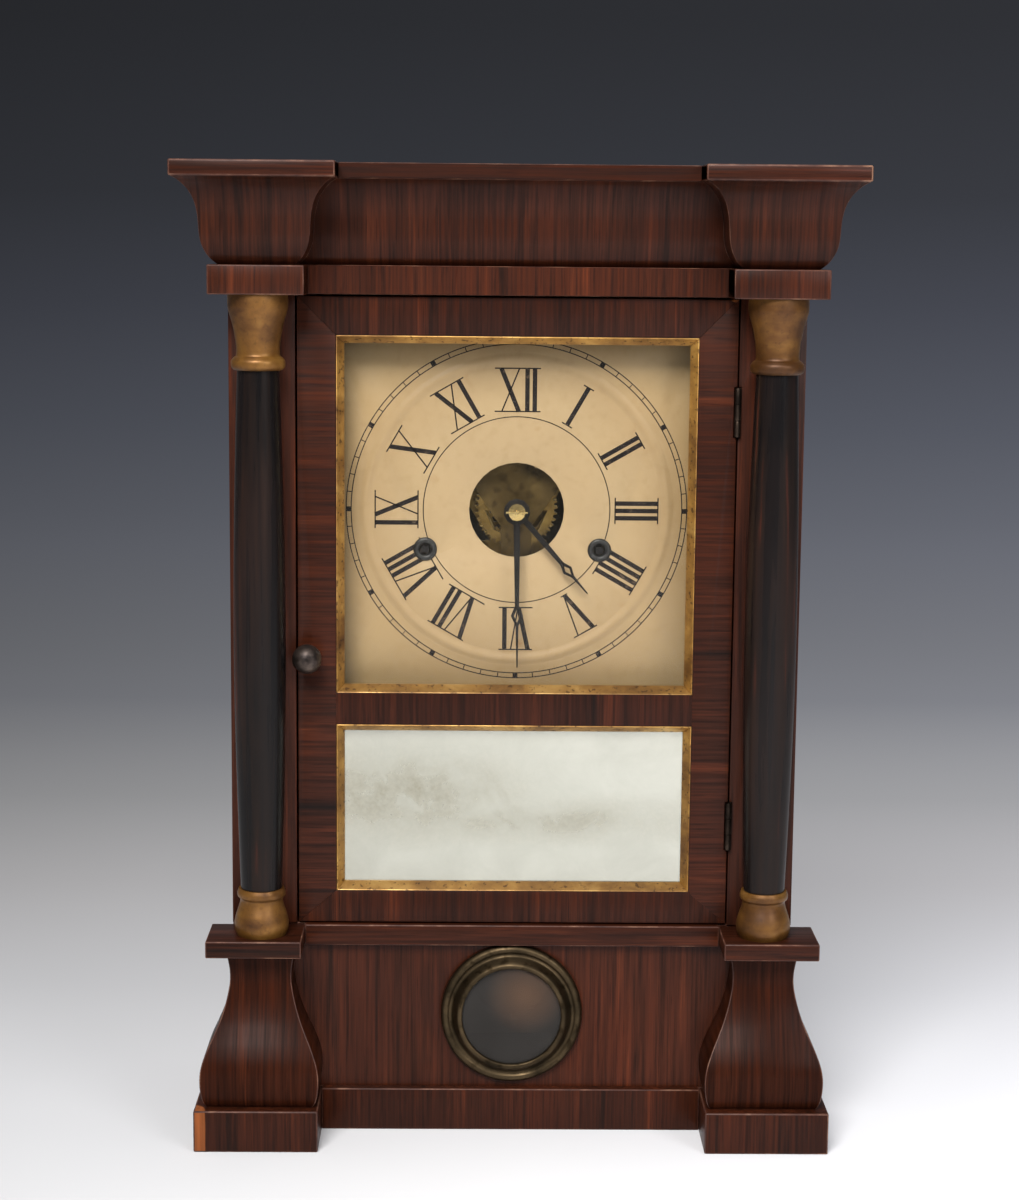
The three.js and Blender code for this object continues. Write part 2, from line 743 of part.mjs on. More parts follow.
// where a tooth of the driven wheel has to sit so that it falls between two of its driver's teeth
function meshPhase(driver, driverTeeth, driverPhase, driven, drivenTeeth) {
  const line = Math.atan2(driven[1] - driver[1], driven[0] - driver[0]);
  const driverTurn = ((line - driverPhase) * driverTeeth) / (2 * Math.PI);
  const offset = driverTurn - Math.floor(driverTurn);
  return line + Math.PI + ((offset + 0.5) * 2 * Math.PI) / drivenTeeth;
}

const centrePhase = 0;
const hourPhase = 0;
const greatPhase = meshPhase(centre, centrePinionTeeth, centrePhase, timeArbor, greatTeeth);
const thirdPhase = meshPhase(centre, centreTeeth, centrePhase, third, thirdPinionTeeth);
const escapePhase = meshPhase(third, thirdTeeth, thirdPhase, escape, escapePinionTeeth);
const motionPhase = meshPhase(centre, cannonTeeth, centrePhase, motion, motionTeeth);
const motionPinionPhase = meshPhase(centre, hourTeeth, hourPhase, motion, motionPinionTeeth);
const strikePhase = 0;
const strikeGreatPhase = meshPhase(strikeCentre, strikePinionTeeth, strikePhase, strikeArbor, greatTeeth);
const flyPhase = meshPhase(strikeCentre, strikeTeeth, strikePhase, fly, flyPinionTeeth);

function wheel([x, z], teeth, radius, phase, y, armsTo = 4) {
  const size = (2 * radius) / teeth;
  const rim = radius - 1.05 * size - 2;
  const holes = radius > 12 ? crossings(x, z, armsTo, rim) : [];
  return sheet(toothed(x, z, teeth, radius, phase), y, y + wheelThickness, holes);
}

function pinion([x, z], teeth, radius, phase, y0, y1) {
  return sheet(toothed(x, z, teeth, radius, phase, 0.34), y0, y1);
}

// an arbor with a thin pivot at each end that turns in the two plates
function arbor([x, z], from = frontPlateY, to = plateBack) {
  const profile = [
    [0, from], [pivotRadius, from],
    [pivotRadius, inside + snugGap], [arborRadius, inside + snugGap],
    [arborRadius, backPlateY - snugGap], [pivotRadius, backPlateY - snugGap],
    [pivotRadius, to], [0, to],
  ];
  return turnedInDepth(profile, x, z, 8);
}

// ---------- plates ----------
function plateOutline() {
  const clip = 9;
  return [
    [-plateHalfWidth + clip, plateBottom], [plateHalfWidth - clip, plateBottom],
    [plateHalfWidth, plateBottom + clip], [plateHalfWidth, plateTop - clip],
    [plateHalfWidth - clip, plateTop], [-plateHalfWidth + clip, plateTop],
    [-plateHalfWidth, plateTop - clip], [-plateHalfWidth, plateBottom + clip],
  ];
}

function pivotHole([x, z], radius = pivotRadius) {
  return ringPoints(x, z, radius + runningGap, 8);
}

function addPlates() {
  const strut = 6.5;
  const armFoot = centreZ - 8;
  const armTop = centreZ + 8;
  const openingTo = 28;
  const openingFoot = plateBottom + 14;
  const opening = [
    [centreX + strut, openingFoot], [centreX + openingTo - 8, openingFoot],
    [centreX + openingTo - 8, arborZ], [centreX + openingTo, centreZ],
    [centreX + openingTo, armTop], [centreX + strut + 11, armTop],
    [centreX + strut, armFoot],
  ];
  const otherOpening = opening.map(([x, z]) => [2 * centreX - x, z]).reverse();
  const pivots = [third, escape, strikeCentre, fly, verge, hammer].map((at) => pivotHole(at));
  const pipeHole = ringPoints(centreX, centreZ, pipeRadius + runningGap, 16);
  const winding = [timeArbor, strikeArbor].map(([x, z]) => ringPoints(x, z, windingRadius + runningGap, 12));
  const frontHoles = [opening, otherOpening, pipeHole, ...pivots, ...winding];
  const front = sheet(plateOutline(), frontPlateY, inside, frontHoles);
  const stud = bar(motion[0], motion[1], arborRadius, inside - 0.5, motionY + wheelThickness + 0.6, 12);
  add('front_plate', join(front, stud), brass);

  const backHoles = [...pivots, ...winding, pivotHole(centre)];
  const back = sheet(plateOutline(), backPlateY, plateBack, backHoles);
  const posts = [];
  for (const x of [-pillarX, pillarX]) {
    for (const z of [plateBottom + pillarInset, plateTop - pillarInset]) {
      posts.push(bar(x, z, pillarRadius, inside, backFace, 12));
    }
  }
  const cockZ = pendulumZ + cockRise;
  const cock = block(
    centreX - cockHalf, centreX + cockHalf, plateBack - 0.5, rodY + 2, cockZ - cockHalf, cockZ + cockHalf);
  add('back_plate', join(back, cock, ...posts), brass);
}

// ---------- hands and motion work ----------
const pipeRadius = 2.3;
const pipeBore = 1.3;
const arborFront = dialFace - 10.6;
const minuteY = dialFace - 7.8;
const hourHandY = dialFace - 4.6;
const handThickness = 0.8;
const minuteSeat = 0.9;
const washerRadius = 3.6;
const minuteHub = 5.6;
const hourHub = 5.2;
const minuteLozengeAt = 43.9;
const minuteLozenge = 4.2;
const hourLozengeAt = 32.9;
const hourLozenge = 3.6;
const cannonRoot = cannonRadius - (2.1 * cannonRadius) / cannonTeeth;

function centreArborPiece() {
  const [x, z] = centre;
  const seat = minuteY + handThickness + snugGap;
  const profile = [
    [0, arborFront], [minuteSeat, arborFront], [minuteSeat, minuteY - 1.3],
    [washerRadius, minuteY - 1.1], [washerRadius, minuteY - snugGap],
    [minuteSeat, minuteY - snugGap], [minuteSeat, seat], [1.1, seat], [1.1, motionY - 0.4],
    [cannonRoot, motionY - 0.4], [cannonRoot, motionY + wheelThickness],
    [arborRadius, motionY + wheelThickness], [arborRadius, backPlateY - snugGap],
    [pivotRadius, backPlateY - snugGap], [pivotRadius, plateBack], [0, plateBack],
  ];
  const spindle = turnedInDepth(profile, x, z, 12);
  const pin = block(x - 4.6, x + 4.6, minuteY - 2.3, minuteY - 1.2, z - 0.4, z + 0.4);
  const cannon = pinion(centre, cannonTeeth, cannonRadius, centrePhase, motionY, motionY + wheelThickness);
  const large = wheel(centre, centreTeeth, centreWheelRadius, centrePhase, centreY);
  const leafEnd = greatY + wheelThickness + 0.6;
  const small = pinion(centre, centrePinionTeeth, centrePinionRadius, centrePhase, greatY - 0.6, leafEnd);
  return join(spindle, pin, cannon, large, small);
}

// a slender hand with a small open lozenge on it, drawn pointing up and then turned
function handPiece(length, lozengeAt, lozengeSize, hubRadius, bore, degrees, y) {
  const neck = 0.9;
  const outline = [];
  const hubSteps = 10;
  for (let i = 0; i <= hubSteps; i += 1) {
    const a = Math.PI / 2 + 0.25 + (i / hubSteps) * (2 * Math.PI - 0.5);
    outline.push([hubRadius * Math.cos(a), hubRadius * Math.sin(a)]);
  }
  const low = lozengeAt - lozengeSize;
  const high = lozengeAt + lozengeSize;
  outline.push([neck, low], [lozengeSize * 0.62, lozengeAt], [neck * 0.7, high], [0.25, length]);
  outline.push([-0.25, length], [-neck * 0.7, high], [-lozengeSize * 0.62, lozengeAt], [-neck, low]);
  const window = [[0, low + 1.4], [lozengeSize * 0.3, lozengeAt], [0, high - 1.2], [-lozengeSize * 0.3, lozengeAt]];
  const turn = THREE.MathUtils.degToRad(degrees);
  const place = ([u, v]) => {
    return [
      centreX + u * Math.cos(turn) + v * Math.sin(turn),
      centreZ - u * Math.sin(turn) + v * Math.cos(turn),
    ];
  };
  const holes = [ringPoints(0, 0, bore, 16).map(place), window.map(place)];
  return sheet(outline.map(place), y, y + handThickness, holes);
}

function addHands() {
  add('centre_arbor', centreArborPiece(), brass);
  const minuteHand = handPiece(
    minuteHandLength, minuteLozengeAt, minuteLozenge, minuteHub, minuteSeat + snugGap,
    minuteHandAngle, minuteY);
  add('minute_hand', minuteHand, steel);
  const [x, z] = centre;
  const pipeFront = hourHandY - 0.6;
  const hourSeat = pipeRadius - 0.7;
  const pipe = [
    [pipeBore, pipeFront], [hourSeat, pipeFront], [hourSeat, hourHandY + handThickness + snugGap],
    [pipeRadius, hourHandY + handThickness + snugGap], [pipeRadius, hourY + wheelThickness],
    [pipeBore, hourY + wheelThickness], [pipeBore, pipeFront],
  ];
  const hourWheel = sheet(
    toothed(x, z, hourTeeth, hourWheelRadius, hourPhase), hourY, hourY + wheelThickness,
    [ringPoints(x, z, (pipeBore + pipeRadius) / 2, 12), ...crossings(x, z, 5, 13.4, 4)]);
  add('hour_pipe', join(turnedInDepth(pipe, x, z, 12), hourWheel), brass);
  const hourHand = handPiece(
    hourHandLength, hourLozengeAt, hourLozenge, hourHub, hourSeat + snugGap, hourHandAngle, hourHandY);
  add('hour_hand', hourHand, steel);

  const bore = ringPoints(motion[0], motion[1], arborRadius + runningGap, 12);
  const motionWheel = sheet(
    toothed(motion[0], motion[1], motionTeeth, motionDistance - cannonRadius, motionPhase),
    motionY, motionY + wheelThickness, [bore]);
  const motionPinion = sheet(
    toothed(motion[0], motion[1], motionPinionTeeth, motionPinionRadius, motionPinionPhase, 0.34),
    hourY - 0.3, motionY + 0.2, [bore]);
  add('motion_wheel', join(motionWheel, motionPinion), brass);
}

// ---------- winding: a great wheel, its arbor with a ratchet, and the spring ----------
const ratchetTip = 8;
const ratchetRoot = 6.6;

function greatWheel([x, z], radius, phase) {
  const bore = ringPoints(x, z, windingRadius + runningGap, 12);
  const size = (2 * radius) / greatTeeth;
  const holes = [bore, ...crossings(x, z, ratchetTip + 4, radius - 1.05 * size - 3)];
  const disc = sheet(toothed(x, z, greatTeeth, radius, phase), greatY, greatY + wheelThickness, holes);
  const near = ratchetTip + turningGap;
  const click = sheet(
    [[x + near, z - 1], [x + near + 2.6, z - 2], [x + near + 2.6, z + 3], [x + near + 1.4, z + 3]],
    greatY + wheelThickness - 0.4, ratchetY + wheelThickness);
  return join(disc, click);
}

function windingArbor([x, z]) {
  const teeth = 16;
  const outline = [];
  for (let i = 0; i < teeth; i += 1) {
    const a = (i / teeth) * 2 * Math.PI;
    outline.push([x + ratchetTip * Math.cos(a), z + ratchetTip * Math.sin(a)]);
    outline.push([x + ratchetRoot * Math.cos(a + 0.05), z + ratchetRoot * Math.sin(a + 0.05)]);
  }
  const square = 1.35;
  const squareFront = dialFace - 0.5;
  const end = block(x - square, x + square, squareFront, frontPlateY, z - square, z + square);
  const spindle = bar(x, z, windingRadius, frontPlateY - 0.5, plateBack, 12);
  const hub = bar(x, z, springHub, springY, springY + springWidth, 12);
  return join(end, spindle, sheet(outline, ratchetY, ratchetY + wheelThickness), hub);
}

// a flat steel ribbon wound round its arbor; the widening turns follow a plain spiral
const springHub = 3.6;
const springTurns = 5;
const springReach = 17;
const ribbon = 0.6;

function mainspring([x, z]) {
  const steps = 12 * springTurns;
  const inner = springHub + restGap;
  const band = (shift) => {
    const points = [];
    for (let i = 0; i <= steps; i += 1) {
      const t = i / steps;
      const r = inner + shift + (springReach - inner - ribbon) * t;
      const a = t * springTurns * 2 * Math.PI;
      points.push([x + r * Math.cos(a), z + r * Math.sin(a)]);
    }
    return points;
  };
  return sheet([...band(0), ...band(ribbon).reverse()], springY, springY + springWidth);
}

function addTrains() {
  add('time_great_wheel', greatWheel(timeArbor, greatRadius, greatPhase), brass);
  add('time_winding_arbor', windingArbor(timeArbor), steel);
  add('time_mainspring', mainspring(timeArbor), steel);
  add('strike_great_wheel', greatWheel(strikeArbor, strikeGreatRadius, strikeGreatPhase), brass);
  add('strike_winding_arbor', windingArbor(strikeArbor), steel);
  add('strike_mainspring', mainspring(strikeArbor), steel);

  // a pinion is a little longer than the wheel that drives it is thick
  const leaves = (at, teeth, radius, phase, y) => {
    return pinion(at, teeth, radius, phase, y - leafSpare, y + wheelThickness + leafSpare);
  };
  const thirdLeaves = leaves(third, thirdPinionTeeth, thirdPinionRadius, thirdPhase, centreY);
  const thirdRim = wheel(third, thirdTeeth, thirdWheelRadius, thirdPhase, thirdY);
  add('third_wheel', join(arbor(third), thirdLeaves, thirdRim), brass);

  const strikeLeaves = leaves(strikeCentre, strikePinionTeeth, strikePinionRadius, strikePhase, greatY);
  const strikeRim = wheel(strikeCentre, strikeTeeth, strikeWheelRadius, strikePhase, strikeY);
  add('strike_wheel', join(arbor(strikeCentre), strikeLeaves, strikeRim), brass);

  const flyLeaves = leaves(fly, flyPinionTeeth, flyPinionRadius, flyPhase, strikeY);
  const bladeReach = 9;
  const bladeHalf = 0.3;
  const blade = block(
    fly[0] - bladeReach, fly[0] + bladeReach, inside + 1.5, strikeY - 2.5,
    fly[1] - bladeHalf, fly[1] + bladeHalf);
  add('fly', join(arbor(fly), flyLeaves, blade), brass);
}

// ---------- escapement and pendulum ----------
const escapeTeeth = 24;
const palletGap = 0.5;

function addEscapement() {
  const outline = [];
  for (let i = 0; i < escapeTeeth; i += 1) {
    const a = (i / escapeTeeth) * 2 * Math.PI;
    outline.push([escape[0] + escapeRadius * Math.cos(a), escape[1] + escapeRadius * Math.sin(a)]);
    const low = escapeRadius - 2.6;
    outline.push([escape[0] + low * Math.cos(a + 0.07), escape[1] + low * Math.sin(a + 0.07)]);
  }
  const holes = crossings(escape[0], escape[1], 3.4, escapeRadius - 4.4, 3, 1.8);
  const disc = sheet(outline, escapeY, escapeY + wheelThickness, holes);
  const leaves = pinion(
    escape, escapePinionTeeth, escapePinionRadius, escapePhase,
    thirdY - leafSpare, thirdY + wheelThickness + leafSpare);
  add('escape_wheel', join(arbor(escape), leaves, disc), brass);

  // the strip verge spans the top of the wheel, its pallets just clear of the teeth
  const clear = escapeRadius + palletGap;
  const drop = escape[1] - pendulumZ;
  const span = 58;
  const arc = [];
  const back = [];
  for (let i = 0; i <= 6; i += 1) {
    const a = THREE.MathUtils.degToRad(90 - span / 2 + (span * i) / 6);
    arc.push([escape[0] + (clear + 1.2) * Math.cos(a), pendulumZ + drop + (clear + 1.2) * Math.sin(a)]);
    back.push([escape[0] + (clear + 2.6) * Math.cos(a), pendulumZ + drop + (clear + 2.6) * Math.sin(a)]);
  }
  const strip = sheet([...arc, ...back.reverse()], escapeY, escapeY + wheelThickness);
  const stemHalf = 1.4;
  const stem = block(
    centreX - stemHalf, centreX + stemHalf, escapeY, escapeY + wheelThickness,
    escape[1] + clear + 1.8, pendulumZ);
  const crutchLength = 34;
  const wire = 0.7;
  const crutchY = plateBack + crutchShare * roomBehind;
  const spindle = arbor(verge, frontPlateY, crutchY + 1.7 * wire);
  const crutchFoot = pendulumZ - crutchLength;
  const across = (x0, x1, y1, z1) => block(x0, x1, crutchY, y1, crutchFoot, z1);
  const crutch = across(centreX - wire, centreX + wire, crutchY + 2 * wire, pendulumZ + 1);
  const prong = (side) => {
    const near = centreX + side * (rodRadius + restGap);
    const far = near + side * 2 * wire;
    return across(Math.min(near, far), Math.max(near, far), rodY + 1.5, crutchFoot + 2 * wire);
  };
  const yoke = across(centreX - 3, centreX + 3, crutchY + 2 * wire, crutchFoot + 2 * wire);
  add('verge', join(spindle, strip, stem, crutch, yoke, prong(-1), prong(1)), steel);

  const hang = pendulumZ + cockRise - cockHalf - restGap;
  const bladeFoot = pendulumZ - cockRise;
  const springBlade = block(centreX - 1.6, centreX + 1.6, rodY - 0.2, rodY + 0.2, bladeFoot, hang);
  const rodFoot = bobZ - bobRadius - 7;
  const rod = prism(ringPoints(centreX, rodY, rodRadius, 8), rodFoot, bladeFoot + 1);
  const nut = prism(ringPoints(centreX, rodY, 3, 12), rodFoot + 2, rodFoot + 5);
  add('pendulum_rod', join(springBlade, rod, nut), brass);
  const half = bobThickness / 2;
  const bob = turnedInDepth([
    [0, rodY - half], [bobRadius * 0.55, rodY - half * 0.85], [bobRadius * 0.9, rodY - half * 0.4],
    [bobRadius, rodY], [bobRadius * 0.9, rodY + half * 0.4], [bobRadius * 0.55, rodY + half * 0.85],
    [0, rodY + half],
  ], centreX, bobZ, 24);
  const bore = ringPoints(centreX, rodY, rodRadius + snugGap, 8);
  const passage = prism(bore, bobZ - bobRadius - 1, bobZ + bobRadius + 1);
  add('pendulum_bob', cut(bob, passage), brass);
}

// ---------- strike: hammer and coiled wire gong ----------
class GongCurve extends THREE.Curve {
  getPoint(t, target = new THREE.Vector3()) {
    const a = t * gongTurns * 2 * Math.PI;
    const r = gongInner + (gongOuter - gongInner) * t;
    return target.set(r * Math.cos(a), -r * Math.sin(a), 0);
  }
}

function addGong() {
  const section = shapeOf(ringPoints(0, 0, gongWire, 6));
  const steps = 24 * gongTurns;
  const coil = new THREE.ExtrudeGeometry(section, { steps, extrudePath: new GongCurve(), bevelEnabled: false });
  coil.rotateX(Math.PI / 2).translate(centreX, coilY, gongZ);
  const postX = gongInner + centreX;
  const post = block(postX - 3, postX + 3, coilY - 2.4, backFace, gongZ - 2.4, gongZ + 5);
  const base = block(centreX - 10, centreX + 18, coilY + 2.6, backFace, gongZ - 9, gongZ + 9);
  add('gong', join(coil, post, base), steel);
  const pitch = (gongOuter - gongInner) / gongTurns;
  const points = new GongCurve().getPoints(steps);
  let least = Infinity;
  for (let i = 0; i < points.length; i += 1) {
    for (let j = i + 12; j < points.length; j += 1) {
      least = Math.min(least, points[i].distanceTo(points[j]));
    }
  }
  const clear = (least - 2 * gongWire).toFixed(2);
  console.log(`gong: turns ${pitch} mm apart, least gap to itself ${clear} mm`);

  const headRadius = 5;
  const headReach = gongOuter + gongWire + 2 + headRadius;
  const head = toward([centreX, gongZ], headReach, 116);
  const wireY = rodY + 3;
  const spindle = arbor(hammer, frontPlateY, wireY + 1);
  const run = Math.hypot(head[0] - hammer[0], head[1] - hammer[1]);
  const lean = Math.atan2(head[0] - hammer[0], hammer[1] - head[1]);
  const wireHalf = 0.8;
  const wire = block(-wireHalf, wireHalf, wireY - wireHalf, wireY + wireHalf, -run, 1.5);
  wire.rotateY(-lean).translate(hammer[0], 0, hammer[1]);
  const tail = block(hammer[0] - 1, hammer[0] + 1, inside + 4, inside + 5.5, hammer[1] - 4, hammer[1] + 9);
  const knock = bar(head[0], head[1], headRadius, wireY - 1.5, coilY + 2, 16);
  add('hammer', join(spindle, wire, tail, knock), steel);
}

addCase();
addHead();
addWindow();
addDoor();
addDial();
addPlates();
addHands();
addTrains();
addEscapement();
addGong();

clock.position.y = (slabFront - bodyDepth) / 2;
export default clock;
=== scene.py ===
import json
import math

import bpy
from mathutils import Matrix, Vector

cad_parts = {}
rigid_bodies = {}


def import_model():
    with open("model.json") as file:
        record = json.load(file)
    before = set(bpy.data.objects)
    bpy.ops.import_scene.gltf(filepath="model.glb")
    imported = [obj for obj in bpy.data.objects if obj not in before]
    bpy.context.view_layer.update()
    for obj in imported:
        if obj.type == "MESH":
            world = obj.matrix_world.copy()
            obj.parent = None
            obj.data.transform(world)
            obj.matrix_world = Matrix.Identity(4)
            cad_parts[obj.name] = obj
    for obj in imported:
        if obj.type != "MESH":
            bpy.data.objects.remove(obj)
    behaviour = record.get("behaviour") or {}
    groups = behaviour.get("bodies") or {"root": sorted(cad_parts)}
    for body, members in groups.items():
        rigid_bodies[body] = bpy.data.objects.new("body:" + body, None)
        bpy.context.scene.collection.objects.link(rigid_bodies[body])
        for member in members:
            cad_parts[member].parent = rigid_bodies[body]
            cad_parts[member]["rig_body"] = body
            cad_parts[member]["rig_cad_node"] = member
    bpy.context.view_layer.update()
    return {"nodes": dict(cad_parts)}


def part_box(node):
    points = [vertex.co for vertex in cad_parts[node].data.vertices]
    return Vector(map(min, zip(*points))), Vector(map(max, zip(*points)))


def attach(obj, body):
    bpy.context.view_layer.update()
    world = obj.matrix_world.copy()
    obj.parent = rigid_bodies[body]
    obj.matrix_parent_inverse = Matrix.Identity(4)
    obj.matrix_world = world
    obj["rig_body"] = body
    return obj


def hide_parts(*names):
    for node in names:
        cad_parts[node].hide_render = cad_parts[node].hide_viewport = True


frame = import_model()
print("frame loaded:", len(frame["nodes"]), "nodes")

mm = 0.001


# one number stands for the same number three times
def three(value):
    return tuple(value) if hasattr(value, "__len__") else (value,) * 3


def inMetres(profile):
    return [(a * mm, b * mm) for a, b in profile]


def middleOf(node):
    low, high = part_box(node)
    return (low + high) / 2


def setMode(mode):
    bpy.ops.object.mode_set(mode=mode)


def deselectAll():
    if bpy.context.object and bpy.context.object.mode != "OBJECT":
        setMode("OBJECT")
    bpy.ops.object.select_all(action="DESELECT")


def activate(piece):
    deselectAll()
    piece.select_set(True)
    bpy.context.view_layer.objects.active = piece


def selectAll():
    bpy.ops.mesh.select_all(action="SELECT")


def extrudeBy(step):
    bpy.ops.mesh.extrude_region_move(TRANSFORM_OT_translate={"value": step})


# keeps what lies on the side of a plane that it faces, closed where it was cut
def cutBy(place, facing):
    selectAll()
    bpy.ops.mesh.bisect(plane_co=place, plane_no=facing, use_fill=True, clear_inner=True)


# bakes the place into the mesh, names the piece, dresses it and makes it ride on its body
def settle(piece, name, finishes, body):
    activate(piece)
    bpy.ops.object.transform_apply(location=True, rotation=True, scale=True)
    piece.name = name
    piece.data.name = name
    piece.data.materials.clear()
    for finish in finishes:
        piece.data.materials.append(finish)
    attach(piece, body)


def smoothByAngle(piece, degrees=35):
    activate(piece)
    bpy.ops.object.shade_smooth_by_angle(angle=math.radians(degrees))


# eases every edge sharper than an angle, and gives the eased strips one of the piece's finishes
def easeEdges(piece, width, angle, finish, segments=2):
    activate(piece)
    bpy.ops.object.modifier_add(type="BEVEL")
    bevel = piece.modifiers[-1]
    bevel.width = width
    bevel.segments = segments
    bevel.limit_method = "ANGLE"
    bevel.angle_limit = math.radians(angle)
    bevel.material = finish
    bpy.ops.object.modifier_apply(modifier=bevel.name)


# a copy of a solid with eased edges, which carry the second finish if there is one
# each of the planes that cut it is a place and a facing
def solidCopy(node, name, finishes, body, ease, segments=2, angle=32, planes=()):
    source = frame["nodes"][node]
    source.hide_viewport = False  # a solid that was copied before is hidden
    activate(source)
    bpy.ops.object.duplicate()
    piece = bpy.context.object
    piece.hide_render = False
    piece.parent = None
    piece.matrix_world = Matrix.Identity(4)
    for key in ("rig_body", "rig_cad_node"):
        del piece[key]
    setMode("EDIT")
    selectAll()
    bpy.ops.mesh.remove_doubles(threshold=0.002 * mm)
    for place, facing in planes:
        cutBy(place, facing)
    selectAll()
    bpy.ops.mesh.dissolve_limited(angle_limit=math.radians(1))
    setMode("OBJECT")
    settle(piece, name, finishes, body)
    for polygon in piece.data.polygons:
        polygon.material_index = 0
    easeEdges(piece, ease, angle, len(finishes) - 1, segments)
    smoothByAngle(piece)
    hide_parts(node)
    return piece


# a new mesh of one point, left open for drawing
def startPoint():
    deselectAll()
    bpy.ops.mesh.primitive_plane_add(size=mm, location=(0, 0, 0))
    piece = bpy.context.object
    setMode("EDIT")
    selectAll()
    bpy.ops.mesh.merge(type="CENTER")
    return piece


# draws lines from the point through each place in turn
def drawThrough(places):
    bpy.ops.transform.translate(value=places[0])
    for here, there in zip(places, places[1:]):
        extrudeBy(there - here)
    selectAll()


def closeMesh():
    selectAll()
    bpy.ops.mesh.normals_make_consistent(inside=False)
    setMode("OBJECT")


# a profile turned about an axis through a centre; its pairs are a radius and a distance along the axis
def turnedPiece(name, profile, centre, axis, finishes, body, steps=72):
    piece = startPoint()
    drawThrough([Vector(centre) + Vector((radius, 0, 0)) + Vector(axis) * along for radius, along in profile])
    bpy.ops.mesh.spin(steps=steps, angle=2 * math.pi, center=centre, axis=axis)
    selectAll()
    bpy.ops.mesh.remove_doubles(threshold=0.004 * mm)
    closeMesh()
    settle(piece, name, finishes, body)
    smoothByAngle(piece, 30)
    return piece


# a smooth curve through the points of a coarse one, with a few points between each pair
def rounded(profile, between=4):
    out = []
    last = len(profile) - 1
    for i in range(last):
        around = (profile[max(i - 1, 0)], profile[i], profile[i + 1], profile[min(i + 2, last)])
        for k in range(between):
            t = k / between
            point = []
            for a, b, c, d in zip(*around):
                bend = 2 * a - 5 * b + 4 * c - d
                twist = 3 * b - a - 3 * c + d
                point.append(0.5 * (2 * b + (c - a) * t + bend * t * t + twist * t ** 3))
            out.append(tuple(point))
    out.append(tuple(profile[-1]))
    return out


# a material, and the nodes that its colour, roughness and bumps are made of
class Finish:
    def __init__(self, name):
        self.material = bpy.data.materials.new(name)
        self.material.use_nodes = True
        self.nodes = self.material.node_tree.nodes
        self.links = self.material.node_tree.links
        self.shader = self.nodes["Principled BSDF"]
        self.output = self.nodes["Material Output"]
        self.coord = self.nodes.new("ShaderNodeTexCoord")

    def link(self, a, b):
        self.links.new(a, b)

    # links a socket to an input, or writes a plain value there
    def give(self, value, target):
        if hasattr(value, "is_linked"):
            self.link(value, target)
        else:
            target.default_value = value

    def mapped(self, scale, location=(0, 0, 0)):
        mapping = self.nodes.new("ShaderNodeMapping")
        mapping.inputs["Scale"].default_value = scale
        mapping.inputs["Location"].default_value = location
        self.link(self.coord.outputs["Object"], mapping.inputs["Vector"])
        return mapping.outputs["Vector"]

    # the x, y and z of a point, measured from a place
    def coordinates(self, place=(0, 0, 0)):
        node = self.nodes.new("ShaderNodeSeparateXYZ")
        self.link(self.mapped((1, 1, 1), [-at for at in place]), node.inputs[0])
        return node.outputs

    # how far a point lies from a place, scaled along x, y and z
    def away(self, place, scales):
        node = self.nodes.new("ShaderNodeVectorMath")
        node.operation = "LENGTH"
        self.link(self.mapped(scales, [-at * scale for at, scale in zip(place, scales)]), node.inputs[0])
        return node.outputs["Value"]

    def noise(self, scale, detail, roughness, distortion=0.0, location=(0, 0, 0)):
        node = self.nodes.new("ShaderNodeTexNoise")
        node.inputs["Scale"].default_value = 1
        node.inputs["Detail"].default_value = detail
        node.inputs["Roughness"].default_value = roughness
        node.inputs["Distortion"].default_value = distortion
        self.link(self.mapped(three(scale), location), node.inputs["Vector"])
        return node.outputs["Fac"]

    def ramp(self, value, stops):
        node = self.nodes.new("ShaderNodeValToRGB")
        elements = node.color_ramp.elements
        while len(elements) < len(stops):
            elements.new(0.5)
        for element, (at, colour) in zip(elements, stops):
            element.position = at
            element.color = (*three(colour), 1)
        self.link(value, node.inputs["Fac"])
        return node.outputs["Color"]

    def mix(self, factor, a, b, blend="MIX"):
        node = self.nodes.new("ShaderNodeMix")
        node.data_type = "RGBA"
        node.blend_type = blend
        self.give(factor, node.inputs[0])
        for value, target in ((a, node.inputs[6]), (b, node.inputs[7])):
            self.give(value if hasattr(value, "is_linked") else (*value, 1), target)
        return node.outputs[2]

    def tint(self, factor, a, b):
        return self.mix(factor, a, b, "MULTIPLY")

    def spread(self, value, low, high, fromLow=0.0, fromHigh=1.0):
        node = self.nodes.new("ShaderNodeMapRange")
        node.inputs["From Min"].default_value = fromLow
        node.inputs["From Max"].default_value = fromHigh
        node.inputs["To Min"].default_value = low
        node.inputs["To Max"].default_value = high
        self.link(value, node.inputs["Value"])
        return node.outputs["Result"]

    def math(self, kind, a, b=0.0):
        node = self.nodes.new("ShaderNodeMath")
        node.operation = kind
        self.give(a, node.inputs[0])
        self.give(b, node.inputs[1])
        return node.outputs[0]

    # lays one shader over another where the factor is 1
    def over(self, factor, below, above):
        node = self.nodes.new("ShaderNodeMixShader")
        self.link(factor, node.inputs[0])
        self.link(below.outputs[0], node.inputs[1])
        self.link(above.outputs[0], node.inputs[2])
        return node

    def bump(self, height, strength, distance):
        node = self.nodes.new("ShaderNodeBump")
        node.inputs["Strength"].default_value = strength
        node.inputs["Distance"].default_value = distance
        self.link(height, node.inputs["Height"])
        self.link(node.outputs["Normal"], self.shader.inputs["Normal"])

    def set(self, **values):
        for key, value in values.items():
            self.shader.inputs[key.replace("_", " ")].default_value = value

    def colour(self, socket):
        self.link(socket, self.shader.inputs["Base Color"])

    def rough(self, socket):
        self.link(socket, self.shader.inputs["Roughness"])


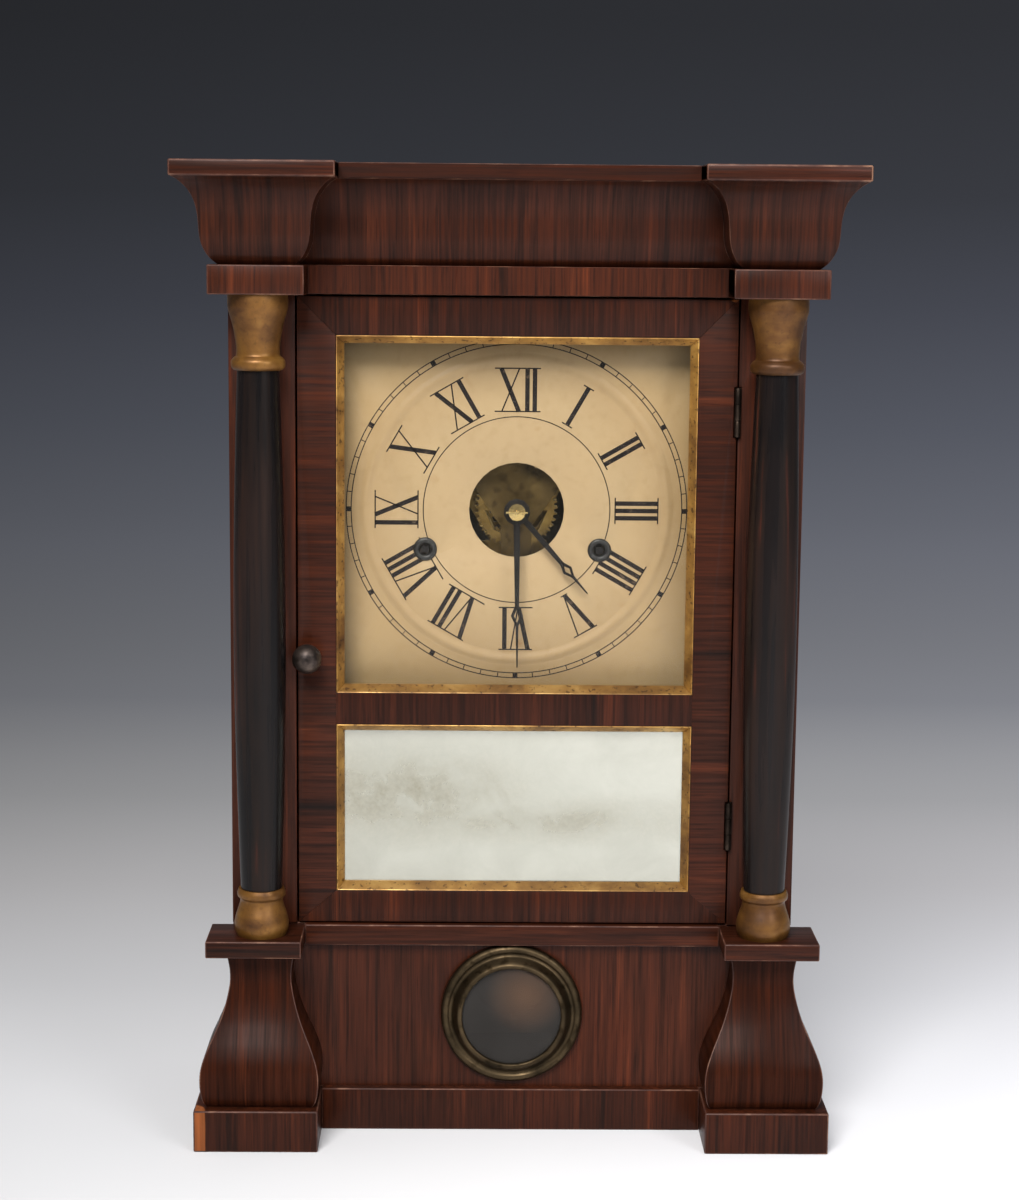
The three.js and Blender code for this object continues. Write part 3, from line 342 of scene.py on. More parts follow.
rosewoodLook = {
    "dark": (0.0100, 0.0040, 0.0024),
    "middle": (0.0335, 0.0090, 0.0039),
    "light": (0.077, 0.0195, 0.0073),
    "bare": (0.20, 0.062, 0.018),
    "fibres": [(0.32, (0.42, 0.38, 0.36)), (0.50, (0.95, 0.88, 0.85)), (0.68, (1.5, 1.3, 1.2))],
    "patches": [(0.34, (0.62, 0.62, 0.64)), (0.55, 1), (0.72, (1.35, 1.2, 1.1))],
    "pores": [(0.30, (0.35, 0.3, 0.3)), (0.40, 1)],
    "dull": 0.44,
    "polished": 0.28,
}
grainAxis = {"up": 2, "across": 0}


# a scale along x, y and z that is drawn out along some of the axes
def drawnOut(across, along, axes):
    return [along if axis in axes else across for axis in range(3)]


# polished rosewood veneer whose grain runs up or across the piece
# bare is a place and a reach where the veneer has chipped off the paler wood below
# calm is the axis along which a curved face runs back, where the grain hardly changes
def rosewood(name, grain, shade=1.0, offset=0.0, streak=1.0, bare=None, calm=None, shine=0.16):
    look = rosewoodLook
    f = Finish(name)
    axes = (grainAxis[grain], calm)
    location = (offset, offset * 0.7, offset * 1.3)
    tone = f.noise(drawnOut(26, 5, axes), 3, 0.5, 0.6, location)
    broad = f.noise(drawnOut(125, 5, axes), 6, 0.68, 0.35, location)
    fine = f.noise(drawnOut(820, 18, axes), 4, 0.6, 0.0, location)
    pores = f.noise(drawnOut(1500, 60, axes), 2, 0.5, 0.0, location)
    dark, middle, light = ([c * shade for c in look[key]] for key in ("dark", "middle", "light"))
    stripes = f.ramp(broad, [(0.30, dark), (0.44, middle), (0.56, middle), (0.72, light)])
    fibres = f.ramp(fine, look["fibres"])
    colour = f.tint(0.9, stripes, fibres)
    colour = f.tint(0.75 * streak, colour, f.ramp(tone, look["patches"]))
    colour = f.tint(0.6, colour, f.ramp(pores, look["pores"]))
    if bare:
        place, reach = bare
        distance = f.away(place, [1 / side for side in reach])
        ragged = f.math("ADD", distance, f.spread(tone, -0.35, 0.35, 0.3, 0.7))
        wood = f.tint(0.6, look["bare"], fibres)
        colour = f.mix(f.spread(ragged, 1, 0, 0.94, 1.04), colour, wood)
    f.colour(colour)
    f.rough(f.spread(fine, look["dull"], look["polished"], 0.3, 0.75))
    f.set(Specular_IOR_Level=shine, IOR=1.45)
    f.bump(f.math("ADD", f.math("MULTIPLY", pores, 0.6), fine), 0.10, 0.10 * mm)
    return f.material


# rubbed edge of the veneer, a little lighter than the face
def wornEdge():
    f = Finish("veneer_worn_edge")
    blotch = f.noise(90, 4, 0.6)
    f.colour(f.ramp(blotch, [
        (0.35, (0.030, 0.010, 0.007)), (0.54, (0.075, 0.027, 0.016)), (0.72, (0.20, 0.10, 0.06))]))
    f.rough(f.spread(blotch, 0.60, 0.45))
    f.set(Specular_IOR_Level=0.3)
    f.bump(blotch, 0.2, 0.1 * mm)
    return f.material


# black-stained wood, rubbed to brown along its grain
def ebonised():
    f = Finish("ebonised_maple")
    flow = f.noise((190, 190, 5), 5, 0.62, 0.2)
    patch = f.noise((38, 38, 9), 3, 0.5)
    colour = f.ramp(flow, [
        (0.42, (0.006, 0.005, 0.005)), (0.60, (0.013, 0.008, 0.006)), (0.74, (0.075, 0.018, 0.010))])
    shade = f.ramp(patch, [(0.40, (0.65, 0.65, 0.7)), (0.66, (1.8, 1.4, 1.3))])
    f.colour(f.tint(0.8, colour, shade))
    f.rough(f.spread(flow, 0.22, 0.38, 0.3, 0.75))
    f.set(Specular_IOR_Level=0.15)
    f.bump(flow, 0.12, 0.15 * mm)
    return f.material


giltLook = {
    "leaf": [(0.32, (0.24, 0.115, 0.028)), (0.52, (0.50, 0.27, 0.065)), (0.70, (0.74, 0.46, 0.14))],
    "specks": [(0.33, (0.16, 0.10, 0.06)), (0.41, 1)],
    "rub": [(0.36, (0.42, 0.34, 0.30)), (0.56, 1)],
}


def gilding(name, worn, tone=(1, 1, 1), specks=0.75):
    f = Finish(name)
    leaf = f.noise(60, 5, 0.6, 0.3)
    speck = f.noise(520, 3, 0.5)
    rub = f.noise((24, 24, 60), 4, 0.6)
    stops = [(at, [c * t for c, t in zip(colour, tone)]) for at, colour in giltLook["leaf"]]
    colour = f.tint(specks, f.ramp(leaf, stops), f.ramp(speck, giltLook["specks"]))
    f.colour(f.tint(worn, colour, f.ramp(rub, giltLook["rub"])))
    f.rough(f.spread(leaf, 0.50, 0.32, 0.3, 0.7))
    f.set(Metallic=0.5)
    f.bump(speck, 0.25, 0.12 * mm)
    return f.material


# low and high are the colours of its clouds, bright and dull their roughness
def metal(name, low, high, bright=0.28, dull=0.5, scale=70, metallic=1.0, grime=0.5, shine=0.5):
    f = Finish(name)
    cloud = f.noise(scale, 5, 0.6)
    brush = f.noise((900, 900, 40), 3, 0.5)
    spots = f.noise(260, 3, 0.5)
    colour = f.ramp(cloud, [(0.34, low), (0.68, high)])
    dirt = f.ramp(spots, [(0.32, (0.25, 0.22, 0.18)), (0.44, 1)])
    f.colour(f.tint(grime, colour, dirt))
    f.rough(f.spread(cloud, dull, bright, 0.3, 0.7))
    f.set(Metallic=metallic, Specular_IOR_Level=shine)
    f.bump(brush, 0.08, 0.06 * mm)
    return f.material


softwoodLook = {
    "bands": [(0.32, (0.15, 0.075, 0.03)), (0.52, (0.26, 0.145, 0.065)), (0.70, (0.36, 0.215, 0.105))],
    "fibres": [(0.35, (0.6, 0.55, 0.5)), (0.6, (1.05, 1.03, 1.0))],
}


def softwood(name, grain):
    f = Finish(name)
    axes = (grainAxis[grain],)
    bands = f.noise(drawnOut(70, 4, axes), 4, 0.55, 0.5)
    fibres = f.noise(drawnOut(600, 25, axes), 3, 0.5)
    f.colour(f.tint(0.6, f.ramp(bands, softwoodLook["bands"]), f.ramp(fibres, softwoodLook["fibres"])))
    f.rough(f.spread(fibres, 0.85, 0.62))
    f.bump(fibres, 0.3, 0.2 * mm)
    return f.material


# the dial's paint: its ageing, partly painted shade, runs out from its centre; painted shade at the rim
# darkens it towards its straight edges
dialLook = {
    "centre": (0.5 * mm, 0, 264.2 * mm),
    "agedAndShaded": [(0.0, (0.44, 0.31, 0.165)), (0.2, (0.43, 0.305, 0.162)), (0.48, (0.38, 0.258, 0.128)),
             (0.7, (0.395, 0.268, 0.128)), (1.0, (0.41, 0.285, 0.14))],
    "agedAndShadedFrom": 0.030,
    "agedAndShadedTo": 0.096,
    "rim": [(0.0, 1), (0.55, (0.97, 0.96, 0.95)), (1.0, (0.84, 0.82, 0.78))],
    "rimFrom": 0.058,
    "rimTo": 0.074,
    "mottle": [(0.30, (0.90, 0.88, 0.84)), (0.5, 1)],
    "spots": [(0.24, (0.80, 0.66, 0.5)), (0.30, 1)],
}


def dialPaint():
    look = dialLook
    f = Finish("dial_cream")
    x, _, z = f.coordinates(look["centre"])
    sideways = f.math("ABSOLUTE", x)
    upright = f.math("ABSOLUTE", z)
    edge = f.math("MAXIMUM", sideways, upright)
    squares = f.math("ADD", f.math("MULTIPLY", sideways, sideways), f.math("MULTIPLY", upright, upright))
    radial = f.math("POWER", squares, 0.5)
    cloud = f.noise(22, 4, 0.6)
    crackle = f.noise(260, 4, 0.6)
    wobble = f.math("MULTIPLY", f.math("SUBTRACT", cloud, 0.5), 0.016)
    outwards = f.spread(f.math("ADD", radial, wobble), 0, 1, look["agedAndShadedFrom"], look["agedAndShadedTo"])
    rimwards = f.spread(f.math("ADD", edge, wobble), 0, 1, look["rimFrom"], look["rimTo"])
    # painted shade: the cream is darkened out from the middle and towards the straight edges, where the frame
    # shades the dial
    colour = f.tint(1.0, f.ramp(outwards, look["agedAndShaded"]), f.ramp(rimwards, look["rim"]))
    colour = f.tint(0.7, colour, f.ramp(crackle, look["mottle"]))
    stain = f.noise(75, 2, 0.4, location=(3, 1, 2))
    f.colour(f.tint(0.8, colour, f.ramp(stain, look["spots"])))
    f.rough(f.spread(cloud, 0.5, 0.36))
    f.set(IOR=1.45)
    f.bump(crackle, 0.10, 0.08 * mm)
    return f.material


def numeralInk():
    f = Finish("numeral_black")
    wear = f.noise(420, 4, 0.6)
    patch = f.noise(40, 2, 0.5)
    colour = f.ramp(wear, [
        (0.30, (0.07, 0.05, 0.035)), (0.42, (0.010, 0.007, 0.007)), (0.8, (0.006, 0.004, 0.005))])
    tone = f.ramp(patch, [(0.35, (1.4, 1.3, 1.2)), (0.6, 1)])
    f.colour(f.tint(1.0, colour, tone))
    f.set(Roughness=0.6, Specular_IOR_Level=0.15)
    return f.material


# worn places of the mirror: where each lies, as a share of the glass's width and height, and its scale
mirrorLook = {
    "patch": (0.2, 0.56),
    "patchScale": (16, 0, 42),
    "smear": (0.58, 0.42),
    "smearScale": (12, 0, 90),
    "base": [(0.3, (0.40, 0.40, 0.345)), (0.7, (0.47, 0.47, 0.41))],
    "tired": (0.25, 0.23, 0.17),
    "spots": [(0.42, (0.62, 0.60, 0.52)), (0.62, 1)],
}


# old silvering, grey-brown where it has lifted, most at the left and along a smear
def oldMirror():
    look = mirrorLook
    f = Finish("mirror_silver")
    low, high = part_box("mirror")

    def placeOn(share):
        return low.x + share[0] * (high.x - low.x), 0, low.z + share[1] * (high.z - low.z)

    cloud = f.noise(45, 6, 0.68, 0.4)
    grit = f.noise(700, 3, 0.6)
    patch = f.spread(f.away(placeOn(look["patch"]), look["patchScale"]), 1, 0, 0.1, 1.1)
    smear = f.spread(f.away(placeOn(look["smear"]), look["smearScale"]), 1, 0, 0.1, 1.2)
    near = f.math("MAXIMUM", patch, f.math("MULTIPLY", smear, 0.75))
    wear = f.math("MULTIPLY", near, f.spread(cloud, 0.15, 1, 0.38, 0.62))
    tired = f.tint(0.8, look["tired"], f.ramp(grit, look["spots"]))
    f.colour(f.mix(f.math("MULTIPLY", wear, 0.8), f.ramp(cloud, look["base"]), tired))
    f.rough(f.spread(wear, 0.10, 0.45))
    f.link(f.spread(wear, 0.55, 0.1), f.shader.inputs["Metallic"])
    f.bump(grit, 0.05, 0.03 * mm)
    return f.material


# clear old glass: sees through, with a weak gloss and a film that is a little dust on the door's pane and
# painted shade on the round window's glow is the place, reach and tone of a painted reflection, a warm spot
# painted into the film
def paneGlass(name, tint, filmShare, dustAndShade, glow=None):
    f = Finish(name)
    f.nodes.remove(f.shader)
    clear = f.nodes.new("ShaderNodeBsdfTransparent")
    clear.inputs[0].default_value = (*tint, 1)
    gloss = f.nodes.new("ShaderNodeBsdfGlossy")
    gloss.inputs["Roughness"].default_value = 0.03
    film = f.nodes.new("ShaderNodeBsdfDiffuse")
    cloud = f.noise(30, 4, 0.6)
    filmTone = f.ramp(cloud, [(0.3, dustAndShade), (0.7, [c * 1.5 for c in dustAndShade])])
    if glow:
        place, reach, tone = glow
        filmTone = f.mix(f.spread(f.away(place, [1 / reach] * 3), 1, 0), filmTone, tone)
    f.link(filmTone, film.inputs[0])
    body = f.over(f.spread(cloud, filmShare * 0.8, filmShare * 1.2), clear, film)
    fresnel = f.nodes.new("ShaderNodeFresnel")
    fresnel.inputs[0].default_value = 1.5
    whole = f.over(f.math("MULTIPLY", fresnel.outputs[0], 0.18), body, gloss)
    f.link(whole.outputs[0], f.output.inputs["Surface"])
    return f.material


woodUp = rosewood("rosewood_up", "up")
woodUpRed = rosewood("rosewood_up_red", "up", shade=1.25, offset=0.3)
woodAcross = rosewood("rosewood_across", "across", shade=0.95, offset=0.7)
edgeWorn = wornEdge()
blackWood = ebonised()
gold = gilding("gilt_bright", worn=0.4)
bronze = gilding("gilt_bronze", worn=0.9, tone=(0.38, 0.31, 0.23), specks=0.25)
brass = metal("movement_brass", (0.17, 0.105, 0.03), (0.36, 0.235, 0.075))
plateBrass = metal(
    "movement_plate_brass", (0.055, 0.036, 0.013), (0.15, 0.098, 0.036), 0.35, 0.55, 55, grime=0.6)
# painted shade: the back plate's brass is painted near black, for the shade behind the movement's wheels
backBrassShaded = metal("movement_back_brass_painted_shade", (0.018, 0.012, 0.006), (0.06, 0.04, 0.017), 0.4, 0.6, 55)
polished = metal("hand_washer_brass", (0.55, 0.38, 0.14), (0.72, 0.54, 0.24), 0.2, 0.35)
oldBrass = metal("patinated_brass", (0.030, 0.022, 0.013), (0.095, 0.066, 0.036), 0.36, 0.6, grime=0.7)
darkMetal = metal("dark_brass", (0.02, 0.015, 0.012), (0.085, 0.06, 0.045), 0.3, 0.55)
steel = metal("steel_grey", (0.07, 0.07, 0.073), (0.20, 0.20, 0.205), 0.3, 0.5)
blackSteel = metal(
    "black_steel", (0.004, 0.0035, 0.004), (0.016, 0.014, 0.014), 0.4, 0.6, metallic=0.35, shine=0.15)
caseBoard = softwood("softwood_up", "up")
caseBoardAcross = softwood("softwood_across", "across")
paint = dialPaint()
ink = numeralInk()
silvered = oldMirror()

# a painted reflection: a warm spot painted into the round window's film, to the right of and above its middle
windowPaintedReflection = {"aside": 6 * mm, "up": 9 * mm, "reach": 17 * mm, "tone": (0.17, 0.10, 0.065)}
paintedReflectionPlace = middleOf("window_glass") + Vector((windowPaintedReflection["aside"], 0, windowPaintedReflection["up"]))
doorPane = paneGlass("door_pane", (0.985, 0.985, 0.975), 0.006, (0.5, 0.46, 0.38))
# painted shade: the round window's pane lets little through and half of it is a dark film, standing for the
# shade inside the case
shadedWindowPane = paneGlass("window_pane_painted_shade", (0.36, 0.36, 0.36), 0.5, (0.042, 0.038, 0.035),
                      (paintedReflectionPlace, windowPaintedReflection["reach"], windowPaintedReflection["tone"]))

# the finishes of the solids that are shown themselves; the wheels and the hour pipe are brass
dressed = {
    "base_board": caseBoardAcross,
    "mirror_back": caseBoard,
    "mirror": silvered,
    "door_glass": doorPane,
    "window_glass": shadedWindowPane,
    "time_winding_arbor": blackSteel,
    "strike_winding_arbor": blackSteel,
    "centre_arbor": polished,
    "time_mainspring": steel,
    "strike_mainspring": steel,
    "verge": steel,
    "fly": steel,
}
for name, solid in frame["nodes"].items():
    solid.data.materials.clear()
    solid.data.materials.append(dressed.get(name, brass))
print("finishes on the frame")

# the veneer is gone along the left foot's outer edge: how far from it, to the side, back and up
bareStrip = (5.5 * mm, 8 * mm, 1.0)
footWood = rosewood("rosewood_foot", "up", shade=0.9, offset=0.9, bare=(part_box("foot_left")[0], bareStrip))

# each board: its solid, the name and finishes of its copy, and how far the edges are eased in mm
boards = []
for side, wood in (("left", footWood), ("right", woodUp)):
    boards += [
        (f"foot_{side}", f"foot_block_{side}", [wood, edgeWorn], 0.6),
        (f"bracket_cap_{side}", f"bracket_shelf_{side}", [woodAcross, edgeWorn], 0.5),
        (f"stile_{side}", f"front_stile_{side}", [woodUpRed], 0.3),
        (f"side_{side}", f"case_side_{side}", [woodUp, edgeWorn], 0.4),
    ]
boards += [
    ("base_rail", "base_rail_veneered", [woodUp, edgeWorn], 0.5),
    ("ledge", "ledge_veneered", [woodAcross, edgeWorn], 0.5),
    ("lower_panel", "lower_panel_veneered", [woodUpRed], 0.3),
    ("back_board", "back_board_planed", [caseBoard], 0.5),
]
for node, name, finishes, ease in boards:
    solidCopy(node, name, finishes, "case", ease * mm)
print("case boards")

# in mm: how far the curve swells past the neck at each rise above the foot
scroll = {
    "rise": [0, 3, 8, 14, 19, 24.5, 30, 35.5, 41.5, 47, 52, 57.5, 64.4],
    "swell": [9.3, 10.8, 11.7, 11.8, 10.9, 8.9, 6.4, 4, 2, 0.7, 0, 0.2, 1.4],
    "ease": 0.45,
}
scrollWood = rosewood("rosewood_scroll", "up", shade=0.9, offset=1.9, calm=1, shine=0.07)


# a scroll bracket, drawn up from its foot with the curve on its front and both sides
def buildBracket(side):
    low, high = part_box(f"bracket_{side}")
    levels = rounded(list(zip(scroll["swell"], scroll["rise"])))
    widest = max(swell for swell, _ in levels)
    backMiddle = Vector(((low.x + high.x) / 2, high.y, low.z))
    neckWidth = high.x - low.x - 2 * widest * mm
    neckDepth = high.y - low.y - widest * mm
    lift = (high.z - low.z) / scroll["rise"][-1]
    sizes = [(neckWidth + 2 * swell * mm, neckDepth + swell * mm, rise * lift) for swell, rise in levels]
    deselectAll()
    bpy.ops.mesh.primitive_plane_add(size=1, location=backMiddle - Vector((0, 0.5, 0)))
    piece = bpy.context.object
    setMode("EDIT")
    width, depth, height = sizes[0]
    bpy.ops.transform.resize(value=(width, depth, 1), center_override=backMiddle)
    for newWidth, newDepth, newHeight in sizes[1:]:
        extrudeBy((0, 0, newHeight - height))
        bpy.ops.transform.resize(value=(newWidth / width, newDepth / depth, 1), center_override=backMiddle)
        width, depth, height = newWidth, newDepth, newHeight
    closeMesh()
    settle(piece, f"scroll_bracket_{side}", [scrollWood, edgeWorn], "case")
    easeEdges(piece, scroll["ease"] * mm, angle=60, finish=1)
    smoothByAngle(piece, 28)
    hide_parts(f"bracket_{side}")


for side in ("left", "right"):
    buildBracket(side)

# in mm: radii and heights of the turned ends; the shaft swells by a half wave between its ends
columnForm = {
    "column_base": [(10.2, 0), (11.1, 2.5), (11.3, 5), (10.6, 8.5), (9.3, 12.5), (8.8, 15.2), (9.8, 16.4),
                    (10, 18), (9.4, 19.8)],
    "capital": [(9.6, 0), (10.8, 1.2), (10.9, 3.6), (9.9, 5), (8.8, 6.4), (9.1, 12), (10.2, 18), (11.6, 23),
                (12.2, 26), (12.15, 30.3)],
    "widest": 12.2,
    "endRadius": 8.5,
    "swell": 2.15,
    "steps": 28,
}


# turns a curve of radii and heights in metres up from the foot of a solid's box, closed at both ends
def turnUpright(node, name, curve, finish):
    low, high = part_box(node)
    middle = middleOf(node)
    profile = [(0, 0), *curve, (0, high.z - low.z)]
    piece = turnedPiece(name, profile, (middle.x, middle.y, low.z), (0, 0, 1), [finish], "case")
    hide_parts(node)


def buildColumn(side):
    for part in ("column_base", "capital"):
        curve = [(min(r, columnForm["widest"]) * mm, h * mm) for r, h in rounded(columnForm[part], 5)]
        turnUpright(f"{part}_{side}", f"gilt_{part.removeprefix('column_')}_{side}", curve, bronze)
    low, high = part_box(f"column_{side}")
    shaft = []
    for i in range(columnForm["steps"] + 1):
        t = i / columnForm["steps"]
        radius = columnForm["endRadius"] + columnForm["swell"] * math.sin(math.pi * t)
        shaft.append((radius * mm, (high.z - low.z) * t))
    turnUpright(f"column_{side}", f"column_shaft_{side}", shaft, blackWood)


for side in ("left", "right"):
    buildColumn(side)
print("brackets and columns")

# in mm: the ring's radii and places in front of the panel; the glass lies in a seat cut into its back
bezelForm = {
    "ring": [(30, 0), (30, -1.6), (29.6, -2.5), (28.6, -3.3), (27.4, -3.3), (26.4, -2.7), (25.4, -3.0),
             (24.6, -4.2), (23.6, -5.8), (22.8, -6.7), (21.9, -7.0), (21.2, -6.8), (20.9, -6.3)],
    "seat": 22.5,
    "gap": 0.3,
}


def buildBezel():
    centre = middleOf("window_bezel")
    centre.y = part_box("window_bezel")[1].y
    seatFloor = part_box("window_glass")[0].y - centre.y - bezelForm["gap"] * mm
    front = inMetres(rounded(bezelForm["ring"], 3))
    bore, seat = front[-1][0], bezelForm["seat"] * mm
    profile = [*front, (bore, seatFloor), (seat, seatFloor), (seat, 0), front[0]]
    piece = turnedPiece("brass_bezel", profile, centre, (0, 1, 0), [oldBrass], "case", steps=96)
    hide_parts("window_bezel")


buildBezel()

# in mm: where the frieze and the slab above it are cut in three, and how far their edges are eased
headForm = {"friezeBreak": 85.3, "friezeEase": 0.5, "slabBreak": 72.1, "slabEase": 0.7}


def cutInThree(node, name, breakX, wood, ease):
    leftCut, rightCut = Vector((-breakX, 0, 0)), Vector((breakX, 0, 0))
    leftwards, rightwards = Vector((-1, 0, 0)), Vector((1, 0, 0))
    for part, planes in (
            ("left", [(leftCut, leftwards)]),
            ("centre", [(leftCut, rightwards), (rightCut, leftwards)]),
            ("right", [(rightCut, rightwards)])):
        solidCopy(node, f"{name}_{part}", [wood, edgeWorn], "case", ease, planes=planes)


friezeBreak = headForm["friezeBreak"] * mm
cutInThree("frieze", "frieze", friezeBreak, woodUpRed, headForm["friezeEase"] * mm)
cutInThree("top_slab", "slab", headForm["slabBreak"] * mm, woodAcross, headForm["slabEase"] * mm)

# in mm: the moulding's curve, how far its foot stands behind the frieze's face, its thickness, how far the
# middle length is set back, and the spare at each end of a length before it is cut
cornice = {
    "out": [0, 3.1, 5.4, 6.4, 6.8, 7.2, 8.3, 10.4, 13.6, 16.5],
    "rise": [0, 2.9, 7, 11, 16.2, 20.3, 24.9, 29, 32.4, 34.2],
    "reveal": 4,
    "wall": 9,
    "setback": 23,
    "ease": 0.3,
    "spare": 30,
}
returnWood = rosewood("rosewood_return", "up", shade=0.9, offset=1.3, calm=0)
mouldingWood = rosewood("rosewood_moulding", "up", shade=0.92, offset=0.4, calm=1)


# one length of the moulding between two corners in plan, drawn too long and cut to a mitre at each end
def mouldingRun(name, start, end, cutStart, cutEnd, wood):
    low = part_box("cornice")[0].z
    start, end = Vector((*start, 0)), Vector((*end, 0))
    along = (end - start).normalized()
    outward = Vector((along.y, -along.x, 0))
    curve = rounded(list(zip(cornice["out"], cornice["rise"])))
    spots = [((out - cornice["reveal"]) * mm, rise * mm) for out, rise in curve]
    inside = -(cornice["reveal"] + cornice["wall"]) * mm
    spots += [(inside, spots[-1][1]), (inside, 0)]
    spare = cornice["spare"] * mm
    first = start - along * spare
    places = [first + outward * out + Vector((0, 0, low + rise)) for out, rise in spots]
    piece = startPoint()
    drawThrough([*places, places[0]])
    bpy.ops.mesh.remove_doubles(threshold=0.002 * mm)
    selectAll()
    bpy.ops.mesh.edge_face_add()
    length = (end - start).length + 2 * spare
    extrudeBy(along * length)
    selectAll()
    bpy.ops.mesh.normals_make_consistent(inside=False)
    cutBy(start, (*cutStart, 0))
    cutBy(end, (*-cutEnd, 0))
    closeMesh()
    settle(piece, name, [wood, edgeWorn], "case")
    easeEdges(piece, cornice["ease"] * mm, angle=45, finish=1)
    smoothByAngle(piece, 25)
    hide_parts("cornice")


def buildCornice():
    friezeLow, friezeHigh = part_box("frieze")
    half, front, back = friezeHigh.x, friezeLow.y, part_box("back_board")[1].y
    inner = front + cornice["setback"] * mm
    corners = [(-half, back), (-half, front), (-friezeBreak, front), (-friezeBreak, inner),
               (friezeBreak, inner), (friezeBreak, front), (half, front), (half, back)]
    names = ["left_return", "left_block", "left_inner", "centre",
             "right_inner", "right_block", "right_return"]
    ways = [(Vector(b) - Vector(a)).normalized() for a, b in zip(corners, corners[1:])]
    for i, (name, way) in enumerate(zip(names, ways)):
        cutStart = (ways[max(i - 1, 0)] + way).normalized()
        cutEnd = (way + ways[min(i + 1, len(ways) - 1)]).normalized()
        wood = returnWood if "inner" in name or "return" in name else mouldingWood
        mouldingRun(f"cornice_{name}", corners[i], corners[i + 1], cutStart, cutEnd, wood)


buildCornice()
print("head of the case")

# in mm: the gap around the beads, how far past an opening's edge the middle rail is cut, and the eases
doorForm = {"gap": 0.12, "spare": 20, "ease": 0.22, "beadEase": 0.5, "hingeEase": 0.12}
chipReach = (4.2 * mm, 0.1, 1.8 * mm)  # of the chip at the upper right corner, to the side, back and down
doorLow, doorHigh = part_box("door_frame")
railLook = {"shade": 0.8, "offset": 2.1, "streak": 0.8}
railWood = rosewood("rosewood_rail", "up", **railLook)
chippedWood = rosewood("rosewood_rail_chipped", "up", **railLook, bare=(doorHigh, chipReach))
doorStileWood = rosewood("rosewood_door_stile", "across", shade=1.05, offset=1.7)
# the same gilt as the beads' top lengths, with more rub worn in and with painted shade: darker on the side
# lengths, darkest on the foot lengths
goldSideShaded = gilding("gilt_side_painted_shade", worn=0.9, tone=(0.78, 0.76, 0.70))
goldFootShaded = gilding("gilt_foot_painted_shade", worn=0.6, tone=(0.54, 0.52, 0.52))


# the plane of a mitre from an outer corner of the frame to a corner of its opening
def mitre(outer, inner, towards):
    run = Vector((inner[0] - outer[0], 0, inner[1] - outer[1]))
    facing = Vector((-run.z, 0, run.x)).normalized()
    if facing.dot(Vector((towards[0], 0, towards[1]))) < 0:
        facing = -facing
    return Vector((outer[0], 0, outer[1])), facing


def flipped(plane):
    return plane[0], -plane[1]


def buildDoor():
    gap, spare = doorForm["gap"] * mm, doorForm["spare"] * mm
    dialBeadLow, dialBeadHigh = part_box("dial_bead")
    mirrorBeadLow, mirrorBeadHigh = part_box("mirror_bead")
    openingX = -dialBeadLow.x + gap
    openingTop, openingFoot = dialBeadHigh.z + gap, mirrorBeadLow.z - gap
    topLeft = mitre((doorLow.x, doorHigh.z), (-openingX, openingTop), (1, 1))
    topRight = mitre((doorHigh.x, doorHigh.z), (openingX, openingTop), (-1, 1))
    footLeft = mitre((doorLow.x, doorLow.z), (-openingX, openingFoot), (1, -1))
    footRight = mitre((doorHigh.x, doorLow.z), (openingX, openingFoot), (-1, -1))
    leftOf = (Vector((-openingX, 0, 0)), Vector((-1, 0, 0)))
    rightOf = (Vector((openingX, 0, 0)), Vector((1, 0, 0)))
    above = (Vector((0, 0, mirrorBeadHigh.z + gap - spare)), Vector((0, 0, 1)))
    below = (Vector((0, 0, dialBeadLow.z - gap + spare)), Vector((0, 0, -1)))
    veneers = [
        ("top_rail", [topLeft, topRight], chippedWood),
        ("foot_rail", [footLeft, footRight], railWood),
        ("middle_rail", [flipped(leftOf), flipped(rightOf), above, below], railWood),
        ("left_stile", [flipped(topLeft), flipped(footLeft), leftOf], doorStileWood),
        ("right_stile", [flipped(topRight), flipped(footRight), rightOf], doorStileWood),
    ]
    for name, planes, wood in veneers:
        solidCopy("door_frame", f"door_{name}", [wood], "door", doorForm["ease"] * mm, planes=planes)


buildDoor()


# a bead in four lengths, mitred at its corners; its side and foot lengths carry painted shade
def buildBead(node):
    low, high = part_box(node)
    topLeft = (Vector((low.x, 0, high.z)), Vector((1, 0, 1)))
    topRight = (Vector((high.x, 0, high.z)), Vector((-1, 0, 1)))
    footLeft = (Vector((low.x, 0, low.z)), Vector((1, 0, -1)))
    footRight = (Vector((high.x, 0, low.z)), Vector((-1, 0, -1)))
    upperHalf = (middleOf(node), Vector((0, 0, 1)))
    leftHalf = (middleOf(node), Vector((-1, 0, 0)))
    lengths = [
        ("top", [topLeft, topRight, upperHalf], gold),
        ("foot", [footLeft, footRight, flipped(upperHalf)], goldFootShaded),
        ("left", [flipped(topLeft), flipped(footLeft), leftHalf], goldSideShaded),
        ("right", [flipped(topRight), flipped(footRight), flipped(leftHalf)], goldSideShaded),
    ]
    for name, planes, finish in lengths:
        ease = doorForm["beadEase"] * mm
        solidCopy(node, f"{node}_{name}", [finish], "door", ease, segments=3, planes=planes)


buildBead("dial_bead")
buildBead("mirror_bead")

# in mm and degrees: the ball and how far round it goes, the radii and places of its neck and collar in front
# of the door, and how far inside the door's back the latch tongue is cut off
knobForm = {
    "radius": 6.1,
    "roundTo": 147.6,
    "steps": 18,
    "stem": [(3.0, -1.5), (3.3, -1.2), (4.6, -1.0), (4.6, -0.2), (4.4, 0), (0, 0)],
    "gap": 0.3,
    "tongueCut": 2,
    "tongueEase": 0.3,
}
knobMetal = metal("knob_patina", (0.022, 0.017, 0.016), (0.12, 0.09, 0.075), 0.3, 0.5, 160, 0.85)


